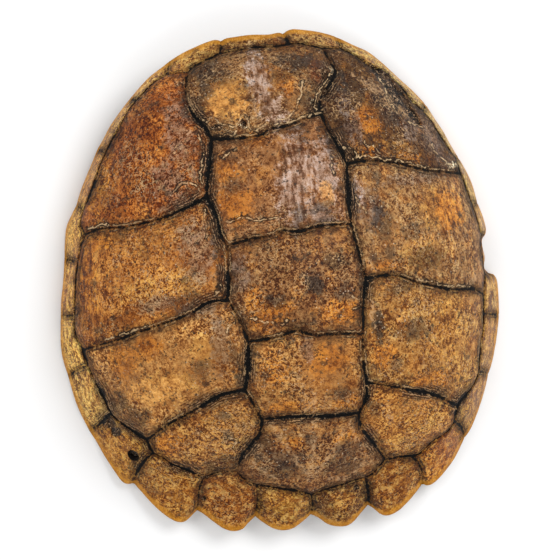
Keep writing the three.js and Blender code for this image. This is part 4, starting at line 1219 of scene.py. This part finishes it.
rib_seam = worked_out("ABSOLUTE", sum_of(between_ribs, zigzag))
rib_seam = product(stretch(rib_seam, 0.2, 0.8, 1.0, 0.0), stretch(from_ring, -1, 0, 1.0, 0.0))
ring_seam = stretch(worked_out("ABSOLUTE", sum_of(from_ring, zigzag)), 0.2, 0.8, 1.0, 0.0)
rim_seam = worked_out("ABSOLUTE", sum_of(rim_wave, product(zigzag, 0.5)))
rim_seam = product(stretch(rim_seam, 0.2, 0.7, 1.0, 0.0), stretch(from_ring, 0, 1))
bone_seams = worked_out("MAXIMUM", worked_out("MAXIMUM", rib_seam, ring_seam), rim_seam)
bone_colour = coated(bone_colour, bone_seams, 0.6, 96, 66, 38)
stained = product(stretch(from_ring, -14, 24), stretch(bone_clouds, 0.35, 0.6, 0.35, 0.8))
bone_colour = painted(stained, bone_colour, screen_colour(150, 106, 60))
put(finish_of_bone.inputs["Base Color"], bone_colour)
put(finish_of_bone.inputs["Roughness"], stretch(bone_grain, 0.2, 0.8, 0.55, 0.78))
raise_marks(finish_of_bone, 0.5, [(bone_grain, 0.8), (pores, -0.6), (bone_seams, -0.9)])

# The wall of the drilled hole: the same bone as the underside, cut across its grain and left
# rough, and painted near black as the shade inside the hole.
hole_wall.use_nodes = True
tree = hole_wall.node_tree
finish_of_wall = tree.nodes["Principled BSDF"]
here = object_place()
wall_grain = spotted(here, 1.4, 4, 0.6)
# Painted shade: two near-black browns mottle the wall, for the dark inside the hole.
hole_shade_mottle = stretch(wall_grain, 0.4, 0.7)
wall_colour = painted(hole_shade_mottle, screen_colour(16, 11, 7), screen_colour(58, 40, 24))
put(finish_of_wall.inputs["Base Color"], wall_colour)
put(finish_of_wall.inputs["Roughness"], stretch(wall_grain, 0.2, 0.8, 0.6, 0.85))
raise_marks(finish_of_wall, 1.0, [(wall_grain, 1.0)])

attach(shell, "root")
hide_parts("carapace")

# The backbone and the rib heads: ten vertebrae grown together in a row under the ridge, and
# nine pairs of short arches from their joints to the costal bones. All of it is bare bone, one
# with the shell, swollen where two bones meet.
backbone_drop = 4.6
rib_reach = 21
rib_end_depth = 3.9
rib_bend_at = 0.45
rib_bend_drop = 0.6


def under_ridge(y):
    """Height of the bone's inner face under the ridge."""
    toward = math.copysign(math.pi / 2, y)
    return float(dome_at(np.array([toward]), np.array([abs(y)]))[0]) - bone_at_centre


def backbone_line():
    y_steps = np.linspace(backbone_front, backbone_back, 2 * vertebra_count + 1)
    return [(0.5, y, under_ridge(y) - backbone_drop) for y in y_steps]


def rib_line(y, side):
    """From the middle of the backbone out to the bone of the dome, sunk in its inner face."""
    start = np.array([0.5, y, under_ridge(y) - backbone_drop])
    end = np.array([side * rib_reach, y - rib_set_back, 0.0])
    steps = np.array([(0, 0), (side, 0), (0, 1)]) + end[:2]
    at_end, across, along = dome_at(np.arctan2(steps[:, 1], steps[:, 0]), np.hypot(*steps.T))
    end[2] = at_end - rib_end_depth * math.hypot(1, across - at_end, along - at_end)
    bend = start * 0.7 + end * 0.3
    bend[:2] = side * rib_bend_at * rib_reach, y - rib_set_back / 2
    bend[2] -= rib_bend_drop
    line = []
    for t in np.linspace(0, 1, 9):
        first = (t - rib_bend_at) * (t - 1) / rib_bend_at
        middle = t * (t - 1) / (rib_bend_at * (rib_bend_at - 1))
        last = t * (t - rib_bend_at) / (1 - rib_bend_at)
        line.append(tuple(first * start + middle * bend + last * end))
    return line


def bar_tree():
    """Nodes that sweep an oval along each line, waisted between its joints."""
    group = bpy.data.node_groups.new("bone_bar", "GeometryNodeTree")
    group.interface.new_socket("Geometry", in_out="OUTPUT", socket_type="NodeSocketGeometry")
    sizes = [
        ("Line", "NodeSocketGeometry"), ("Parts", "NodeSocketInt"), ("Steps", "NodeSocketInt"),
        ("Joint Radius", "NodeSocketFloat"), ("Waist Radius", "NodeSocketFloat"),
        ("Flatness", "NodeSocketFloat"), ("Material", "NodeSocketMaterial"),
    ]
    for name, kind in sizes:
        group.interface.new_socket(name, in_out="INPUT", socket_type=kind)
    given = group.nodes.new("NodeGroupInput").outputs

    def step(kind, **wires):
        """One node, with each named input linked to a socket or set to a value."""
        node = group.nodes.new(kind)
        for name, value in wires.items():
            put(node.inputs[name.replace("_", " ")], value)
        return node

    def sum_node(how, a, b=0.0, c=0.0):
        node = group.nodes.new("ShaderNodeMath")
        node.operation = how
        for socket, value in zip(node.inputs, (a, b, c)):
            put(socket, value)
        return node.outputs[0]

    line = step("GeometryNodeMeshToCurve", Mesh=given["Line"]).outputs["Curve"]
    line = step("GeometryNodeResampleCurve", Curve=line, Count=given["Steps"]).outputs["Curve"]
    upright = step("GeometryNodeSetCurveNormal", Curve=line)
    upright.mode = "Z_UP"
    along = group.nodes.new("GeometryNodeSplineParameter").outputs["Factor"]
    turns = sum_node("MULTIPLY", sum_node("MULTIPLY", along, given["Parts"]), math.pi)
    swelling = sum_node("POWER", sum_node("ABSOLUTE", sum_node("COSINE", turns)), 2.5)
    extra = sum_node("SUBTRACT", given["Joint Radius"], given["Waist Radius"])
    girth = sum_node("MULTIPLY_ADD", extra, swelling, given["Waist Radius"])
    circle = step("GeometryNodeCurvePrimitiveCircle", Resolution=14, Radius=1.0).outputs["Curve"]
    flat = step("ShaderNodeCombineXYZ", X=1, Y=given["Flatness"], Z=1)
    oval = step("GeometryNodeTransform", Geometry=circle, Scale=flat.outputs[0]).outputs[0]
    swept = step(
        "GeometryNodeCurveToMesh", Curve=upright.outputs[0], Profile_Curve=oval, Scale=girth,
        Fill_Caps=True,
    )
    real = step("GeometryNodeRealizeInstances", Geometry=swept.outputs["Mesh"]).outputs[0]
    covered = step("GeometryNodeSetMaterial", Geometry=real, Material=given["Material"])
    step("NodeGroupOutput", Geometry=covered.outputs[0])
    return group


bone_bar = bar_tree()
off_the_seams = (0, -40, 10)


def add_bars(name, bar_lines, **sizes):
    """A bone bar along every line, as one plain mesh."""
    points = []
    edges = []
    for bar_line in bar_lines:
        edges += [(len(points) + k, len(points) + k + 1) for k in range(len(bar_line) - 1)]
        points += [tuple(value / 1000 for value in point) for point in bar_line]
    line_mesh = bpy.data.meshes.new(name + "_lines")
    line_mesh.from_pydata(points, edges, [])
    made = new_object(name, line_mesh)
    sweep = made.modifiers.new("sweep", "NODES")
    sweep.node_group = bone_bar
    for item in bone_bar.interface.items_tree:
        size_name = item.name.replace(" ", "_").lower()
        if item.in_out == "INPUT" and size_name in sizes:
            sweep[item.identifier] = sizes[size_name]
    evaluated = made.evaluated_get(bpy.context.evaluated_depsgraph_get())
    swept = bpy.data.meshes.new_from_object(evaluated)
    made.modifiers.remove(sweep)
    made.data = swept
    swept.shade_smooth()
    give_vectors(swept, "seams", [off_the_seams] * len(swept.vertices))
    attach(made, "root")
    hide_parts("carapace")


add_bars(
    "backbone", [backbone_line()], parts=vertebra_count, steps=vertebra_count * 14 + 1,
    joint_radius=0.0056, waist_radius=0.0037, flatness=1.0, material=bone,
)
add_bars(
    "rib_heads", [rib_line(y, side) for y in rib_rows for side in (-1, 1)], parts=1, steps=17,
    joint_radius=0.0029, waist_radius=0.002, flatness=0.6, material=bone,
)

# The stage: a matt white table, a broad soft light from the upper right, two weaker ones that
# fill its shadows, and an even white room.
table_mesh = bpy.data.meshes.new("table")
half = 3.0
table_mesh.from_pydata(
    [(-half, -half, 0), (half, -half, 0), (half, half, 0), (-half, half, 0)], [], [(0, 1, 2, 3)]
)
table = new_object("table", table_mesh)
white = bpy.data.materials.new("white_table")
white.use_nodes = True
finish_of_table = white.node_tree.nodes["Principled BSDF"]
finish_of_table.inputs["Base Color"].default_value = (0.9, 0.9, 0.9, 1)
finish_of_table.inputs["Roughness"].default_value = 0.9
finish_of_table.inputs["Specular IOR Level"].default_value = 0.1
table_mesh.materials.append(white)


def soft_light(name, place, size, power):
    lamp = bpy.data.lights.new(name, "AREA")
    lamp.shape = "DISK"
    lamp.size = size
    lamp.energy = power
    holder = new_object(name, lamp)
    holder.location = place
    aim = Vector((0, 0, 0.04)) - Vector(place)
    holder.rotation_euler = aim.to_track_quat("-Z", "Y").to_euler()


soft_light("window", (0.85, 0.6, 1.3), 1.0, 14)
soft_light("left_reflector", (-0.9, 0.4, 1.4), 1.0, 6)
soft_light("hind_reflector", (0.3, -1.0, 1.4), 1.0, 5)
room = bpy.data.worlds.new("white_room")
bpy.context.scene.world = room
room.use_nodes = True
room_glow = room.node_tree.nodes["Background"]
room_glow.inputs["Color"].default_value = (0.98, 0.99, 1, 1)
room_glow.inputs["Strength"].default_value = 0.62
bpy.context.scene.view_settings.view_transform = "Standard"

# The camera stands above the shell, a little to its left, with the head end turned left. Its
# shift sets the shell in the frame, in pixels of a picture 560 wide.
camera_lean = math.radians(6.5)
camera_turn = math.radians(-7.6)
camera_distance = 1.4
picture_width = 560
towards = Vector((-math.sin(camera_lean), 0, math.cos(camera_lean)))
level = Vector((0, 1, 0)).cross(towards)
upright = Vector((0, 1, 0)) * math.cos(camera_turn) - level * math.sin(camera_turn)
sideways = level * math.cos(camera_turn) + Vector((0, 1, 0)) * math.sin(camera_turn)
lens = bpy.data.cameras.new("camera")
lens.sensor_width = 36
lens.lens = 150
lens.shift_x = 3.2 / picture_width
lens.shift_y = 4.6 / picture_width
camera = new_object("camera", lens)
camera.matrix_world = Matrix.Translation(towards * camera_distance) @ Matrix(
    (sideways, upright, towards)
).transposed().to_4x4()
bpy.context.scene.camera = camera
